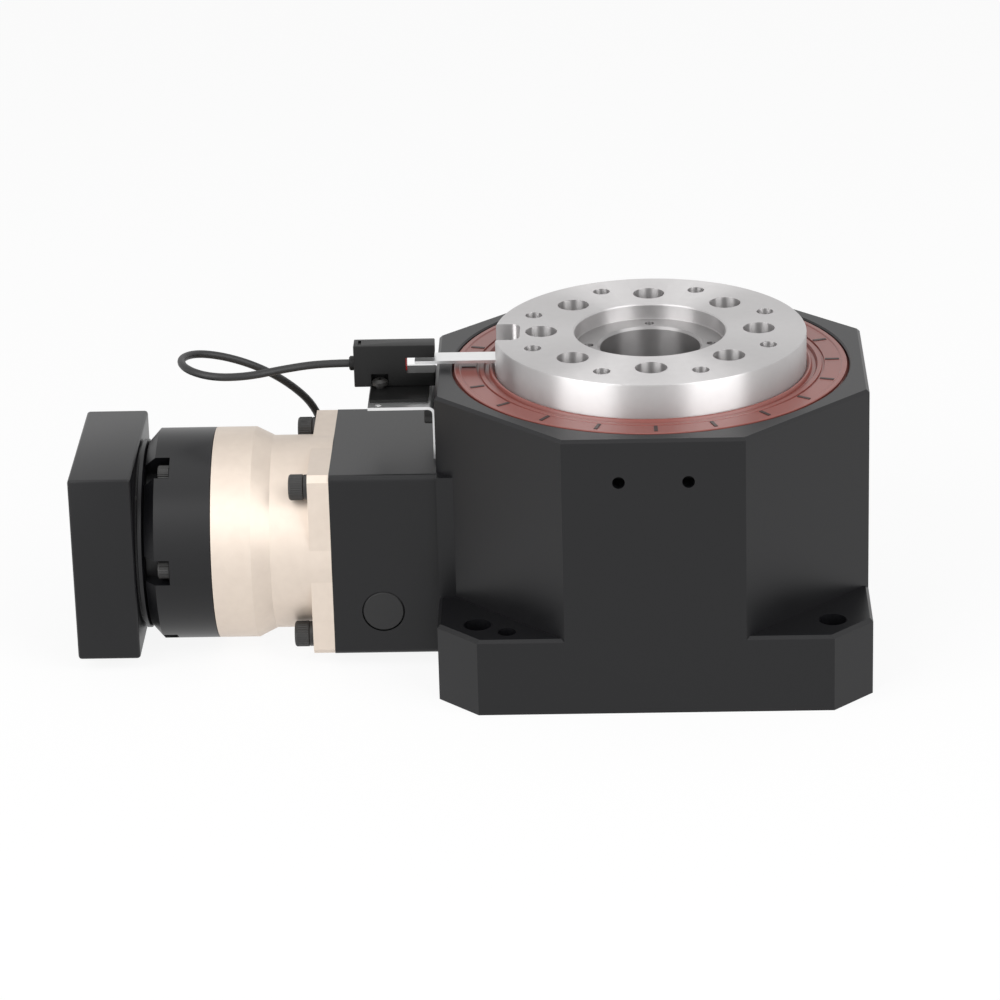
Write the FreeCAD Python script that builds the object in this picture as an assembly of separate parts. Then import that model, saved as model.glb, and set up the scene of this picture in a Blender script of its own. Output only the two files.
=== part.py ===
import FreeCAD, Part
import math
import os

os.makedirs("parts", exist_ok=True)

V = FreeCAD.Vector

# Hollow rotary platform: an octagonal housing with a turntable on a crossed
# roller bearing, turned through a bevel pair by a planetary gearbox that
# hangs on the left. Millimetres. The origin is on the turntable's axis at
# the underside of the base, X to the right, Y to the back, Z up. The drive
# line runs along -X, and its places are distances u from the table's axis.

# Turntable and hollow shaft
table_radius = 51.0
table_overhang = 6.0
table_proud = 11.2
table_skirt_gap = 2.5
table_edge = 0.8
table_bolt_count = 8
table_bolt_thread = 5.0
table_bolt_length = 30.0
table_bolt_counterbore = 4.6
table_bolt_depth = 10.2
fixture_hole_offset = 5.7
fixture_hole_start = 22.5
fixture_thread = 5.0
fixture_hole_depth = 12.0
pilot_radius = 24.7
pilot_depth = 5.0
flange_seat_step = 0.5
flange_seat_gap = 0.1
shaft_flange_thickness = 5.0
through_bore_radius = 16.4
hollow_shaft_wall = 3.6
bore_chamfer = 0.8
ledge_hole_offset = 3.6
ledge_hole_count = 4
ledge_hole_depth = 4.0
notch_width = 15.0
notch_reach = 8.5
notch_corner = 3.0
notch_floor_drop = 9.2

# Octagonal housing and its square base
housing_height = 94.0
base_height = 26.0
base_corner_chamfer = 13.0
rim_wall = 5.0
edge_break = 1.0
base_bolt_inset = 13.0
base_bolt_radius = 4.5
dowel_radius = 3.0
dowel_inset = 22.5
dowel_edge = 7.0
side_pad_margin = 3.0
side_pad_rise = 0.3
side_pad_depth = 10.0
front_hole_spacing = 22.0
front_hole_drop = 14.4
front_hole_thread = 4.0
front_hole_depth = 8.0
housing_cavity_gap = 4.0

# Turntable seal
seal_section = 14.0
seal_thickness = 8.0
seal_sunk = 0.5
seal_ledge = 5.0

# Crossed roller bearing
bearing_width = 15.0
roller_diameter = 6.0
roller_count = 30
roller_bolt_offset = 9.5
inner_ring_bolt_offset = 8.0
ring_split = 0.6
bearing_screw_thread = 4.0
bearing_screw_count = 8
bearing_screw_start = 22.5
bearing_screw_sink = 0.3
bearing_screw_length = 20.0
spigot_depth = 6.5

# Bevel pair
ring_teeth = 36
pinion_teeth = 12
ring_gear_inset = 3.0
bevel_face = 12.0
bevel_addendum = 0.95
bevel_dedendum = 1.2
bevel_backlash = 0.16
bevel_pressure = 25.0
ring_gear_bore_gap = 1.0

# Bottom cover and lower shaft seal
cover_thickness = 8.0
cover_lift = 1.0
cover_flange = 10.0
cover_screw_count = 6
cover_screw_start = 30.0
cover_screw_sink = 0.4
cover_screw_length = 12.0
cover_thread = 4.0
lower_seal_section = 6.0
lower_seal_thickness = 7.0

# Drive line: coupling housing, pinion shaft and its bearings
drive_height = 36.2
coupling_half = 31.5
coupling_length = 35.0
coupling_bore = 23.0
coupling_edge = 2.0
coupling_screw_offset = 19.5
coupling_thread = 4.0
coupling_screw_seat = 6.0
coupling_screw_length = 16.0
drive_bearing_bore = 12.5
drive_bearing_radius = 21.0
drive_bearing_width = 9.0
drive_ball_diameter = 5.0
drive_ball_count = 10
bearing_lip = 3.0
bearing_setback = 1.5
pinion_neck = 15.0
lock_nut_radius = 16.8
lock_nut_length = 6.0
output_shaft_radius = 8.0
output_shaft_reach = 29.0
clamp_end_gap = 8.0
collar_radius = 22.0
collar_length = 15.0
collar_slit = 1.6
clamp_thread = 5.0
clamp_screw_gap = 1.1
clamp_screw_length = 16.0
plug_radius = 6.9
plug_stem = 5.8
plug_head = 1.8
plug_stem_length = 5.0

# Planetary gearbox
flange_thickness = 7.0
flange_corner = 2.0
flange_bolt_inset = 5.5
flange_thread = 5.0
flange_screw_length = 20.0
washer_thickness = 1.3
neck_screw_gap = 0.52
gearbox_neck_length = 13.0
gearbox_cone_length = 6.0
gearbox_radius = 35.0
gearbox_body_length = 13.0
gearbox_pilot_length = 3.0
gear_module = 1.25
sun_teeth = 12
planet_teeth = 12
planet_count = 3
gear_width = 14.0
gear_pressure = 25.0
gear_addendum = 0.9
gear_dedendum = 1.15
gear_backlash = 0.12
planet_pin_radius = 3.0
carrier_plate = 5.0
carrier_gap = 1.0
output_seal_thickness = 5.0
output_seal_section = 6.0

# Input housing and motor plate
input_housing_length = 19.0
input_chamfer = 3.5
input_screw_circle = 30.6
input_screw_count = 6
input_thread = 4.0
input_screw_length = 20.0
pocket_width = 8.6
pocket_length = 7.5
input_bearing_bore = 10.0
input_bearing_radius = 16.0
input_bearing_width = 7.0
input_bearing_gap = 4.0
input_bearing_lip = 2.5
input_ball_diameter = 3.5
input_ball_count = 9
motor_boss_radius = 31.0
motor_boss_length = 6.2
motor_plate_half = 31.4
motor_plate_length = 20.6
motor_plate_chamfer = 3.7
motor_plate_corner = 2.5
motor_pilot_radius = 25.0
motor_pilot_depth = 4.0
motor_bolt_offset = 24.75
motor_thread = 5.0
motor_hole_depth = 12.0
motor_shaft_radius = 7.0
input_hub_wall = 4.0
input_collar_radius = 19.0
input_collar_length = 11.0
input_clamp_thread = 4.0
input_clamp_screw_length = 14.0
plate_screw_circle = 28.4
plate_screw_thread = 3.0
plate_screw_length = 22.0

# Home sensor, its bracket and the dog on the turntable
sensor_length = 26.5
sensor_width = 7.0
sensor_height = 14.2
sensor_gap = 0.5
sensor_slot_depth = 15.0
sensor_slot_height = 5.3
sensor_slot_top_drop = 4.2
dog_slot_gap = 1.1
sensor_screw_pitch = 3.4
sensor_screw_inset = 8.4
sensor_foot = 1.0
mount_thickness = 1.0
mount_half_width = 15.4
mount_length = 21.5
bracket_thickness = 1.0
bracket_half_width = 20.0
bracket_length = 22.0
bracket_coupling_gap = 1.4
bracket_bend = 1.5
bracket_screw_offset = 12.0
bracket_screw_drop = 5.8
small_thread = 3.0
small_screw_length = 8.0
sensor_screw_length = 8.0
dog_width = 8.0
dog_thickness = 1.0
dog_overlap = 6.5
dog_screw_length = 5.0
dog_hole_depth = 6.0
gland_radius = 2.4
gland_length = 1.6
gland_drop = 7.0

# Sensor cable: its route is chosen by hand and runs from the gland round the
# loop beside the sensor, down behind the gearbox flange and into the coil.
cable_radius = 1.3
cable_length = 1000.0
cable_route = [
    (-98.6, 0.0, 95.3),
    (-108.0, 0.0, 95.3),
    (-119.5, -3.6, 95.0),
    (-131.5, -8.8, 94.4),
    (-143.0, -9.6, 94.6),
    (-152.0, -3.6, 95.2),
    (-155.2, 6.6, 95.2),
    (-150.8, 16.2, 93.8),
    (-141.0, 20.6, 90.8),
    (-130.2, 23.4, 85.8),
    (-120.6, 28.6, 77.8),
    (-112.8, 35.0, 67.0),
    (-109.6, 38.4, 53.0),
    (-109.2, 40.0, 38.0),
    (-109.6, 41.0, 26.0),
    (-110.2, 42.6, 16.0),
    (-110.8, 48.2, 9.2),
    (-110.9, 56.2, 6.5),
    (-110.9, 64.5, 6.5),
]
coil_mean_radius = 15.0
coil_layers = 3
core_radius = 0.45
core_length = 24.0

# Running and seating clearances
seat = 0.02
running = 0.05
air = 0.3

# Places worked out from the sizes above
tower_half = table_radius + seal_section + rim_wall
base_bolt_reach = tower_half - base_bolt_inset
dowel_place = (tower_half - dowel_inset, tower_half - dowel_edge)
side_pad_half_width = coupling_half + side_pad_margin
side_pad_top = drive_height + coupling_half + side_pad_rise
seal_radius = table_radius + seal_section
seal_top = housing_height - seal_sunk
seal_bottom = seal_top - seal_thickness
bearing_top = seal_bottom - table_skirt_gap
bearing_bottom = bearing_top - bearing_width
bearing_radius = seal_radius - seal_ledge
table_top = housing_height + table_proud
pilot_floor = table_top - pilot_depth
shaft_flange_bottom = pilot_floor - shaft_flange_thickness
flange_seat_radius = pilot_radius - flange_seat_step
shaft_radius = through_bore_radius + hollow_shaft_wall
ledge_hole_circle = through_bore_radius + ledge_hole_offset
roller_circle = table_radius - table_overhang
table_bolt_radius = roller_circle - roller_bolt_offset
fixture_hole_circle = table_bolt_radius + fixture_hole_offset
shoulder_radius = roller_circle - ring_split / 2.0 - 1.0
ring_gear_radius = roller_circle - ring_gear_inset
roller_half = roller_diameter / math.sqrt(2.0)
inner_ring_bore = table_bolt_radius - inner_ring_bolt_offset
bearing_screw_circle = (roller_circle + roller_half + bearing_radius) / 2.0
bearing_screw_seat = bearing_top - bearing_screw_thread - bearing_screw_sink
cavity_radius = ring_gear_radius + housing_cavity_gap
notch_floor = table_top - notch_floor_drop
cover_top = cover_lift + cover_thickness
cover_radius = cavity_radius + cover_flange
cover_screw_circle = cavity_radius + cover_flange / 2.0
cover_screw_seat = cover_lift + cover_thread + cover_screw_sink
lower_seal_radius = shaft_radius + lower_seal_section
pinion_radius = ring_gear_radius * pinion_teeth / ring_teeth
bevel_distance = math.hypot(ring_gear_radius, pinion_radius)
bevel_shrink = (bevel_distance - bevel_face) / bevel_distance
bevel_module = 2.0 * ring_gear_radius / ring_teeth
face_u = tower_half
outer_bearing_end = face_u - bearing_setback
outer_bearing_start = outer_bearing_end - drive_bearing_width
inner_bearing_start = cavity_radius + bearing_setback + 0.5
coupling_end = face_u + coupling_length
flange_bolt_offset = coupling_half - flange_bolt_inset
flange_end = coupling_end + flange_thickness
neck_end = flange_end + gearbox_neck_length
cone_end = neck_end + gearbox_cone_length
gearbox_end = cone_end + gearbox_body_length
input_end = gearbox_end + input_housing_length
boss_end = input_end + motor_boss_length
drive_end = boss_end + motor_plate_length
output_tip = coupling_end - output_shaft_reach
clamp_end = coupling_end - clamp_end_gap
collar_centre = clamp_end - collar_length / 2.0 - 0.9
clamp_offset = drive_bearing_bore + clamp_thread / 2.0 + clamp_screw_gap
output_seal_start = coupling_end - gearbox_pilot_length + 0.5
output_seal_end = output_seal_start + output_seal_thickness
output_bearing_start = output_seal_end + 1.0
output_bearing_end = output_bearing_start + drive_bearing_width
first_plate_end = output_bearing_end + 0.5 + carrier_plate
planet_pin_start = output_bearing_end + 1.5
gear_start = first_plate_end + carrier_gap
gear_end = gear_start + gear_width
second_plate_start = gear_end + carrier_gap
second_plate_end = second_plate_start + carrier_plate
internal_teeth = sun_teeth + 2 * planet_teeth
planet_circle = gear_module * (sun_teeth + planet_teeth) / 2.0
annulus_radius = gear_module * internal_teeth / 2.0
carrier_radius = annulus_radius - gear_module - 0.3
input_bearing_start = second_plate_end + input_bearing_gap
input_bearing_end = input_bearing_start + input_bearing_width
input_hub_radius = motor_shaft_radius + input_hub_wall
input_hub_end = drive_end - motor_pilot_depth - 3.0
input_collar_start = input_hub_end - input_collar_length
input_clamp_offset = input_hub_radius + input_clamp_thread / 2.0 + clamp_screw_gap
sensor_right = face_u + sensor_gap
sensor_left = sensor_right + sensor_length
slot_top = notch_floor + dog_thickness + dog_slot_gap
sensor_top = slot_top + sensor_slot_top_drop
sensor_bottom = sensor_top - sensor_height
dog_reach = sensor_right + dog_overlap
gland_height = sensor_top - gland_drop
mount_bottom = sensor_bottom - mount_thickness
bracket_top = mount_bottom
bracket_bottom = drive_height + coupling_half + bracket_coupling_gap
sensor_screw_u = sensor_left - sensor_screw_inset
coil_half = coil_layers * cable_radius
coil_centre = (cable_route[-1][0] + coil_mean_radius + coil_half - cable_radius, cable_route[-1][1])


# Screws follow the proportions of socket head cap screws
def head_radius(thread):
    return (1.5 * thread + 1.0) / 2.0


def cap_screw(thread, length):
    """Socket head cap screw, seat at z=0, head up and shank down."""
    head = Part.makeCylinder(head_radius(thread), thread)
    shank = Part.makeCylinder(thread / 2.0, length, V(0, 0, -length))
    return head.fuse(shank).removeSplitter().cut(hexagon(0.4 * thread, thread * 0.5, thread))


def hexagon(inner_radius, low, high):
    """Hexagonal prism about Z with the given distance from axis to flat."""
    corner = inner_radius / math.cos(math.pi / 6.0)
    return prism(polar_points(corner, 6), low, high)


def polar_points(radius, count, start=0.0):
    step = 2.0 * math.pi / count
    return [(radius * math.cos(start + i * step), radius * math.sin(start + i * step)) for i in range(count)]


def prism(points, low, high):
    """Straight solid over a closed outline of (x, y) points."""
    corners = [V(x, y, low) for x, y in points]
    outline = Part.makePolygon(corners + corners[:1])
    return Part.Face(outline).extrude(V(0, 0, high - low))


def turned(points):
    """Solid of revolution about Z over a closed outline of (radius, z) points."""
    corners = [V(r, 0, z) for r, z in points]
    outline = Part.makePolygon(corners + corners[:1])
    return Part.Face(outline).revolve(V(0, 0, 0), V(0, 0, 1), 360)


def disc(radius, low, high):
    return Part.makeCylinder(radius, high - low, V(0, 0, low))


def ring(outer, inner, low, high):
    return turned([(inner, low), (outer, low), (outer, high), (inner, high)])


def box(low, high):
    return Part.makeBox(high[0] - low[0], high[1] - low[1], high[2] - low[2], V(*low))


def placed(shape, place, axis):
    """Copy of a shape with its own Z turned to axis and its origin at place."""
    copy = shape.copy()
    move = FreeCAD.Placement(V(*place), FreeCAD.Rotation(V(0, 0, 1), V(*axis)))
    copy.Placement = move.multiply(shape.Placement)
    return copy


def on_drive(shape):
    """Lay a piece along the drive line: its z becomes u, its x becomes height."""
    copy = shape.copy()
    move = FreeCAD.Placement(V(0, 0, drive_height), FreeCAD.Rotation(V(0, 1, 0), -90))
    copy.Placement = move.multiply(shape.Placement)
    return copy


def circle_places(radius, count, start=0.0):
    return polar_points(radius, count, math.radians(start))


def square_places(offset):
    return [(sx * offset, sy * offset) for sx in (-1, 1) for sy in (-1, 1)]


def drilled(body, places, radius, low, high):
    """Cut parallel holes along Z at the (x, y) places."""
    holes = [Part.makeCylinder(radius, high - low, V(x, y, low)) for x, y in places]
    return body.cut(Part.makeCompound(holes))


def group(solids):
    return Part.makeCompound(solids)


# Housing: octagonal tower on a square base, bored for the bearing and pinion
def octagon(half, low, high):
    return prism(polar_points(half / math.cos(math.pi / 8.0), 8, math.pi / 8.0), low, high)


def edged_octagon(half, low, high, edge):
    """Octagonal block with its top edge broken."""
    lower = octagon(half, low, high - edge)
    points = polar_points(half / math.cos(math.pi / 8.0), 8, math.pi / 8.0)
    small = (half - edge) / half
    wires = []
    for scale, z in ((1.0, high - edge), (small, high)):
        corners = [V(x * scale, y * scale, z) for x, y in points]
        wires.append(Part.makePolygon(corners + corners[:1]))
    return lower.fuse(Part.makeLoft(wires, True, True)).removeSplitter()


def base_outline(inset):
    half = tower_half - inset
    cut = half - base_corner_chamfer
    return [(half, -cut), (half, cut), (cut, half), (-cut, half),
            (-half, cut), (-half, -cut), (-cut, -half), (cut, -half)]


def base_block():
    lower = prism(base_outline(0.0), 0.0, base_height - edge_break)
    wires = []
    for inset, z in ((0.0, base_height - edge_break), (edge_break, base_height)):
        corners = [V(x, y, z) for x, y in base_outline(inset)]
        wires.append(Part.makePolygon(corners + corners[:1]))
    return lower.fuse(Part.makeLoft(wires, True, True)).removeSplitter()


def side_pad():
    low = (-tower_half, -side_pad_half_width, base_height - edge_break)
    high = (side_pad_depth - tower_half, side_pad_half_width, side_pad_top)
    return box(low, high)


def housing():
    body = base_block().fuse([edged_octagon(tower_half, 0.0, housing_height, edge_break), side_pad()])
    body = body.removeSplitter()
    bore = turned([
        (0, -1), (cover_radius + seat, -1), (cover_radius + seat, cover_top),
        (cavity_radius, cover_top), (cavity_radius, bearing_bottom),
        (bearing_radius + seat, bearing_bottom), (bearing_radius + seat, seal_bottom),
        (seal_radius + seat, seal_bottom), (seal_radius + seat, housing_height - edge_break / 2.0),
        (seal_radius + seat + edge_break, housing_height + edge_break / 2.0),
        (0, housing_height + edge_break / 2.0)])
    body = body.cut(bore)
    pinion_bore = turned([
        (0, cavity_radius / 2.0), (drive_bearing_radius - bearing_lip, cavity_radius / 2.0),
        (drive_bearing_radius - bearing_lip, inner_bearing_start),
        (drive_bearing_radius + seat, inner_bearing_start),
        (drive_bearing_radius + seat, face_u + 1.0), (0, face_u + 1.0)])
    body = body.cut(on_drive(pinion_bore))
    corners = square_places(base_bolt_reach)
    body = drilled(body, corners, base_bolt_radius, -1.0, base_height + 1.0)
    dowels = [(-dowel_place[0], -dowel_place[1]), dowel_place]
    body = drilled(body, dowels, dowel_radius, -1.0, base_height + 1.0)
    screw_floor = bearing_bottom - (bearing_screw_length - bearing_width + bearing_screw_thread) - 1.0
    places = circle_places(bearing_screw_circle, bearing_screw_count, bearing_screw_start)
    body = drilled(body, places, bearing_screw_thread / 2.0 + seat, screw_floor, bearing_bottom + 1.0)
    cover_hole_top = cover_lift + cover_screw_length + cover_thread + 1.5
    places = circle_places(cover_screw_circle, cover_screw_count, cover_screw_start)
    body = drilled(body, places, cover_thread / 2.0 + seat, cover_top - 1.0, cover_hole_top)
    low = face_u - coupling_screw_length + coupling_screw_seat - 1.0
    holes = [disc(coupling_thread / 2.0 + seat, low, face_u + 1.0) for _ in range(4)]
    for hole, (x, y) in zip(holes, square_places(coupling_screw_offset)):
        hole.translate(V(x, y, 0))
    body = body.cut(on_drive(group(holes)))
    sensor_holes = [placed(disc(small_thread / 2.0 + seat, -1.0, small_screw_length),
                           (-tower_half, y, bracket_top - bracket_screw_drop), (1, 0, 0))
                    for y in (-bracket_screw_offset, bracket_screw_offset)]
    front_holes = [placed(disc(front_hole_thread / 2.0, -1.0, front_hole_depth),
                          (x, -tower_half, housing_height - front_hole_drop), (0, 1, 0))
                   for x in (-front_hole_spacing / 2.0, front_hole_spacing / 2.0)]
    return body.cut(group(sensor_holes + front_holes))


def bottom_cover():
    body = ring(cover_radius, lower_seal_radius + seat, cover_lift, cover_top)
    places = circle_places(cover_screw_circle, cover_screw_count, cover_screw_start)
    body = drilled(body, places, cover_thread / 2.0 + 0.2, cover_lift - 1.0, cover_top + 1.0)
    return drilled(body, places, head_radius(cover_thread) + air, cover_lift - 1.0, cover_screw_seat)


def bottom_cover_screws():
    screw = cap_screw(cover_thread, cover_screw_length)
    places = circle_places(cover_screw_circle, cover_screw_count, cover_screw_start)
    return group([placed(screw, (x, y, cover_screw_seat), (0, 0, -1)) for x, y in places])


def lip_seal(shaft, outer, low, high):
    """Rotary seal: outer band, web at the top and a lip that runs on the shaft."""
    band = (outer - shaft) * 0.28
    web = (high - low) * 0.3
    return turned([
        (outer, low), (outer, high), (shaft + running, high), (shaft + running, high - web * 1.6),
        (shaft + band, high - web), (outer - band, high - web), (outer - band, low)])


def lower_shaft_seal():
    low = cover_lift + (cover_thickness - lower_seal_thickness) / 2.0
    return lip_seal(shaft_radius, lower_seal_radius, low, low + lower_seal_thickness)


def table_seal():
    """Large oil seal between housing and turntable, with a stepped face."""
    r0 = table_radius + running
    land = seal_section / 7.0
    return turned([
        (seal_radius, seal_bottom), (seal_radius, seal_top - 0.4), (seal_radius - 0.4, seal_top),
        (seal_radius - 1.6 * land, seal_top), (seal_radius - 1.8 * land, seal_top - 0.7),
        (r0 + 3.0 * land, seal_top - 0.7), (r0 + 1.9 * land, seal_top - 1.7),
        (r0 + 0.9 * land, seal_top - 1.7), (r0 + 0.6 * land, seal_top - 0.2), (r0, seal_top - 0.9),
        (r0, seal_top - 2.4), (r0 + 0.8 * land, seal_top - 3.6), (seal_radius - land, seal_top - 3.6),
        (seal_radius - land, seal_bottom)])


# Crossed roller bearing: both rings have a square groove turned on its corner
def main_bearing_outer_ring():
    middle = (bearing_top + bearing_bottom) / 2.0
    bore = roller_circle + ring_split / 2.0
    groove = roller_circle + roller_half + running
    half = groove - bore
    body = turned([
        (bearing_radius, bearing_bottom), (bearing_radius, bearing_top), (bore, bearing_top),
        (bore, middle + half), (groove, middle), (bore, middle - half), (bore, bearing_bottom)])
    places = circle_places(bearing_screw_circle, bearing_screw_count, bearing_screw_start)
    thread = bearing_screw_thread
    body = drilled(body, places, thread / 2.0 + 0.2, bearing_bottom - 1.0, bearing_top + 1.0)
    return drilled(body, places, head_radius(thread) + 0.2, bearing_screw_seat, bearing_top + 1.0)


def main_bearing_inner_ring():
    middle = (bearing_top + bearing_bottom) / 2.0
    rim = roller_circle - ring_split / 2.0
    groove = roller_circle - roller_half - running
    half = rim - groove
    body = turned([
        (inner_ring_bore, bearing_bottom), (rim, bearing_bottom), (rim, middle - half), (groove, middle),
        (rim, middle + half), (rim, bearing_top), (inner_ring_bore, bearing_top)])
    places = circle_places(table_bolt_radius, table_bolt_count)
    return drilled(body, places, table_bolt_thread / 2.0 + 0.2, bearing_bottom - 1.0, bearing_top + 1.0)


def main_bearing_rollers():
    """Rollers tilted 45 degrees in turn, each at right angles to the next."""
    middle = (bearing_top + bearing_bottom) / 2.0
    length = roller_diameter - 0.4
    roller = Part.makeCylinder(roller_diameter / 2.0, length, V(0, 0, -length / 2.0))
    rollers = []
    for i, (x, y) in enumerate(circle_places(roller_circle, roller_count)):
        tilt = 1.0 if i % 2 == 0 else -1.0
        axis = (x / roller_circle, y / roller_circle, tilt)
        rollers.append(placed(roller, (x, y, middle), axis))
    return group(rollers)


def main_bearing_screws():
    screw = cap_screw(bearing_screw_thread, bearing_screw_length)
    places = circle_places(bearing_screw_circle, bearing_screw_count, bearing_screw_start)
    return group([placed(screw, (x, y, bearing_screw_seat), (0, 0, 1)) for x, y in places])


# Turntable with its bolt circles, and what turns with it
def table_notch():
    """Rounded notch in the rim that the sensor dog lies in."""
    inner = table_radius - notch_reach
    half = notch_width / 2.0
    height = table_top - notch_floor + 1.0
    outer_end = table_radius + 2.0
    slab = box((-outer_end, -half, notch_floor), (-inner - notch_corner, half, notch_floor + height))
    neck = box((-outer_end, -half + notch_corner, notch_floor),
               (-inner, half - notch_corner, notch_floor + height))
    rounds = [Part.makeCylinder(notch_corner, height, V(-inner - notch_corner, y, notch_floor))
              for y in (notch_corner - half, half - notch_corner)]
    return slab.fuse([neck] + rounds).removeSplitter()


def turntable():
    step = bearing_top + table_skirt_gap
    body = turned([
        (shaft_radius + seat, bearing_top - spigot_depth),
        (inner_ring_bore - seat, bearing_top - spigot_depth),
        (inner_ring_bore - seat, bearing_top), (shoulder_radius, bearing_top), (shoulder_radius, step),
        (table_radius, step), (table_radius, table_top - table_edge), (table_radius - table_edge, table_top),
        (pilot_radius, table_top), (pilot_radius, pilot_floor), (flange_seat_radius, pilot_floor),
        (flange_seat_radius, shaft_flange_bottom), (shaft_radius + seat, shaft_flange_bottom)])
    bolts = circle_places(table_bolt_radius, table_bolt_count)
    body = drilled(body, bolts, table_bolt_thread / 2.0 + 0.2, bearing_top - 1.0, table_top + 1.0)
    body = drilled(body, bolts, table_bolt_counterbore, table_top - table_bolt_depth, table_top + 1.0)
    fixture = circle_places(fixture_hole_circle, table_bolt_count, fixture_hole_start)
    body = drilled(body, fixture, fixture_thread / 2.0, table_top - fixture_hole_depth, table_top + 1.0)
    body = body.cut(table_notch())
    dog_hole = Part.makeCylinder(small_thread / 2.0 + seat, dog_hole_depth,
                                 V(dog_screw_x(), 0, notch_floor - dog_hole_depth))
    return body.cut(dog_hole)


def hollow_shaft():
    """Sleeve through the whole platform, its flange in a seat below the turntable's pilot."""
    flange = flange_seat_radius - flange_seat_gap
    body = turned([
        (through_bore_radius, cover_lift), (shaft_radius - 0.5, cover_lift), (shaft_radius, cover_lift + 0.5),
        (shaft_radius, shaft_flange_bottom), (flange, shaft_flange_bottom), (flange, pilot_floor),
        (through_bore_radius + bore_chamfer, pilot_floor), (through_bore_radius, pilot_floor - bore_chamfer)])
    places = circle_places(ledge_hole_circle, ledge_hole_count)
    return drilled(body, places, small_thread / 2.0, pilot_floor - ledge_hole_depth, pilot_floor + 1.0)


def table_screws():
    screw = cap_screw(table_bolt_thread, table_bolt_length)
    height = table_top - table_bolt_depth
    places = circle_places(table_bolt_radius, table_bolt_count)
    return group([placed(screw, (x, y, height), (0, 0, 1)) for x, y in places])


def dog_screw_x():
    return notch_reach * 0.55 - table_radius


def sensor_dog():
    low, high = notch_floor, notch_floor + dog_thickness
    inner = table_radius - notch_reach + 1.0
    body = box((-dog_reach, -dog_width / 2.0, low), (-inner, dog_width / 2.0, high))
    hole = Part.makeCylinder(small_thread / 2.0 + 0.2, dog_thickness + 2.0, V(dog_screw_x(), 0, low - 1.0))
    return body.cut(hole)


def dog_screw():
    screw = cap_screw(small_thread, dog_screw_length)
    return placed(screw, (dog_screw_x(), 0, notch_floor + dog_thickness), (0, 0, 1))


# Bevel pair: every tooth is a planar outline drawn in towards the common apex
def bevel_tooth_outline(teeth, pitch_angle):
    """Half of the tooth outline as (half width, height) pairs, root to tip."""
    virtual = bevel_module * teeth / math.cos(pitch_angle) / 2.0
    base = virtual * math.cos(math.radians(bevel_pressure))
    root = virtual - bevel_dedendum * bevel_module
    tip = virtual + bevel_addendum * bevel_module
    half_angle = (math.pi * bevel_module / 2.0 - bevel_backlash) / virtual / 2.0
    pitch_inv = involute(math.radians(bevel_pressure))
    flank = []
    for radius in (root - 0.3, root, (root + virtual) / 2.0, virtual, (virtual + tip) / 2.0, tip):
        angle = half_angle + pitch_inv
        if radius > base:
            angle -= involute(math.acos(base / radius))
        flank.append((radius * math.sin(angle), radius * math.cos(angle) - virtual))
    return flank


def involute(angle):
    return math.tan(angle) - angle


def bevel_tooth(teeth, pitch_radius, pitch_angle):
    """One tooth in the plane of Y=0, apex at the origin and the gear's axis along Z."""
    along = V(math.sin(pitch_angle), 0, math.cos(pitch_angle))
    height = V(math.cos(pitch_angle), 0, -math.sin(pitch_angle))
    centre = along * (pitch_radius / math.sin(pitch_angle))
    flank = bevel_tooth_outline(teeth, pitch_angle)
    outline = [(-s, t) for s, t in flank] + [(s, t) for s, t in reversed(flank)]
    outer = [centre + V(0, s, 0) + height * t for s, t in outline]
    inner = [p * bevel_shrink for p in outer]
    wires = [Part.makePolygon(points + points[:1]) for points in (outer, inner)]
    return Part.makeLoft(wires, True, True)


def bevel_point(pitch_radius, pitch_angle, height, shrink):
    """(radius, distance from the apex along the axis) of a point above the pitch cone."""
    radius = pitch_radius + height * math.cos(pitch_angle)
    depth = pitch_radius / math.tan(pitch_angle) - height * math.sin(pitch_angle)
    return radius * shrink, depth * shrink


def toothed(blank, tooth, teeth, start):
    copies = []
    for i in range(teeth):
        copy = tooth.copy()
        copy.rotate(V(0, 0, 0), V(0, 0, 1), start + i * 360.0 / teeth)
        copies.append(copy)
    return blank.fuse(copies)


def ring_gear():
    """Bevel ring gear with its hub, apex on the drive line, a tooth space at -X."""
    angle = math.atan2(ring_gear_radius, pinion_radius)
    root = -bevel_dedendum * bevel_module
    outer_r, outer_z = bevel_point(ring_gear_radius, angle, root, 1.0)
    inner_r, inner_z = bevel_point(ring_gear_radius, angle, root, bevel_shrink)
    top = bearing_bottom - drive_height
    bore = shaft_radius + ring_gear_bore_gap
    blank = turned([
        (bore, inner_z + 1.0), (inner_r - 1.0, inner_z + 1.0), (inner_r, inner_z), (outer_r, outer_z),
        (shoulder_radius, outer_z + 2.0), (shoulder_radius, top), (inner_ring_bore - seat, top),
        (inner_ring_bore - seat, top + spigot_depth), (bore, top + spigot_depth)])
    tooth = bevel_tooth(ring_teeth, ring_gear_radius, angle)
    body = toothed(blank, tooth, ring_teeth, 180.0 + 180.0 / ring_teeth)
    body.translate(V(0, 0, drive_height))
    places = circle_places(table_bolt_radius, table_bolt_count)
    depth = table_top - table_bolt_depth - table_bolt_length - 1.0
    return drilled(body, places, table_bolt_thread / 2.0 + seat, depth, bearing_bottom + 1.0)


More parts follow.
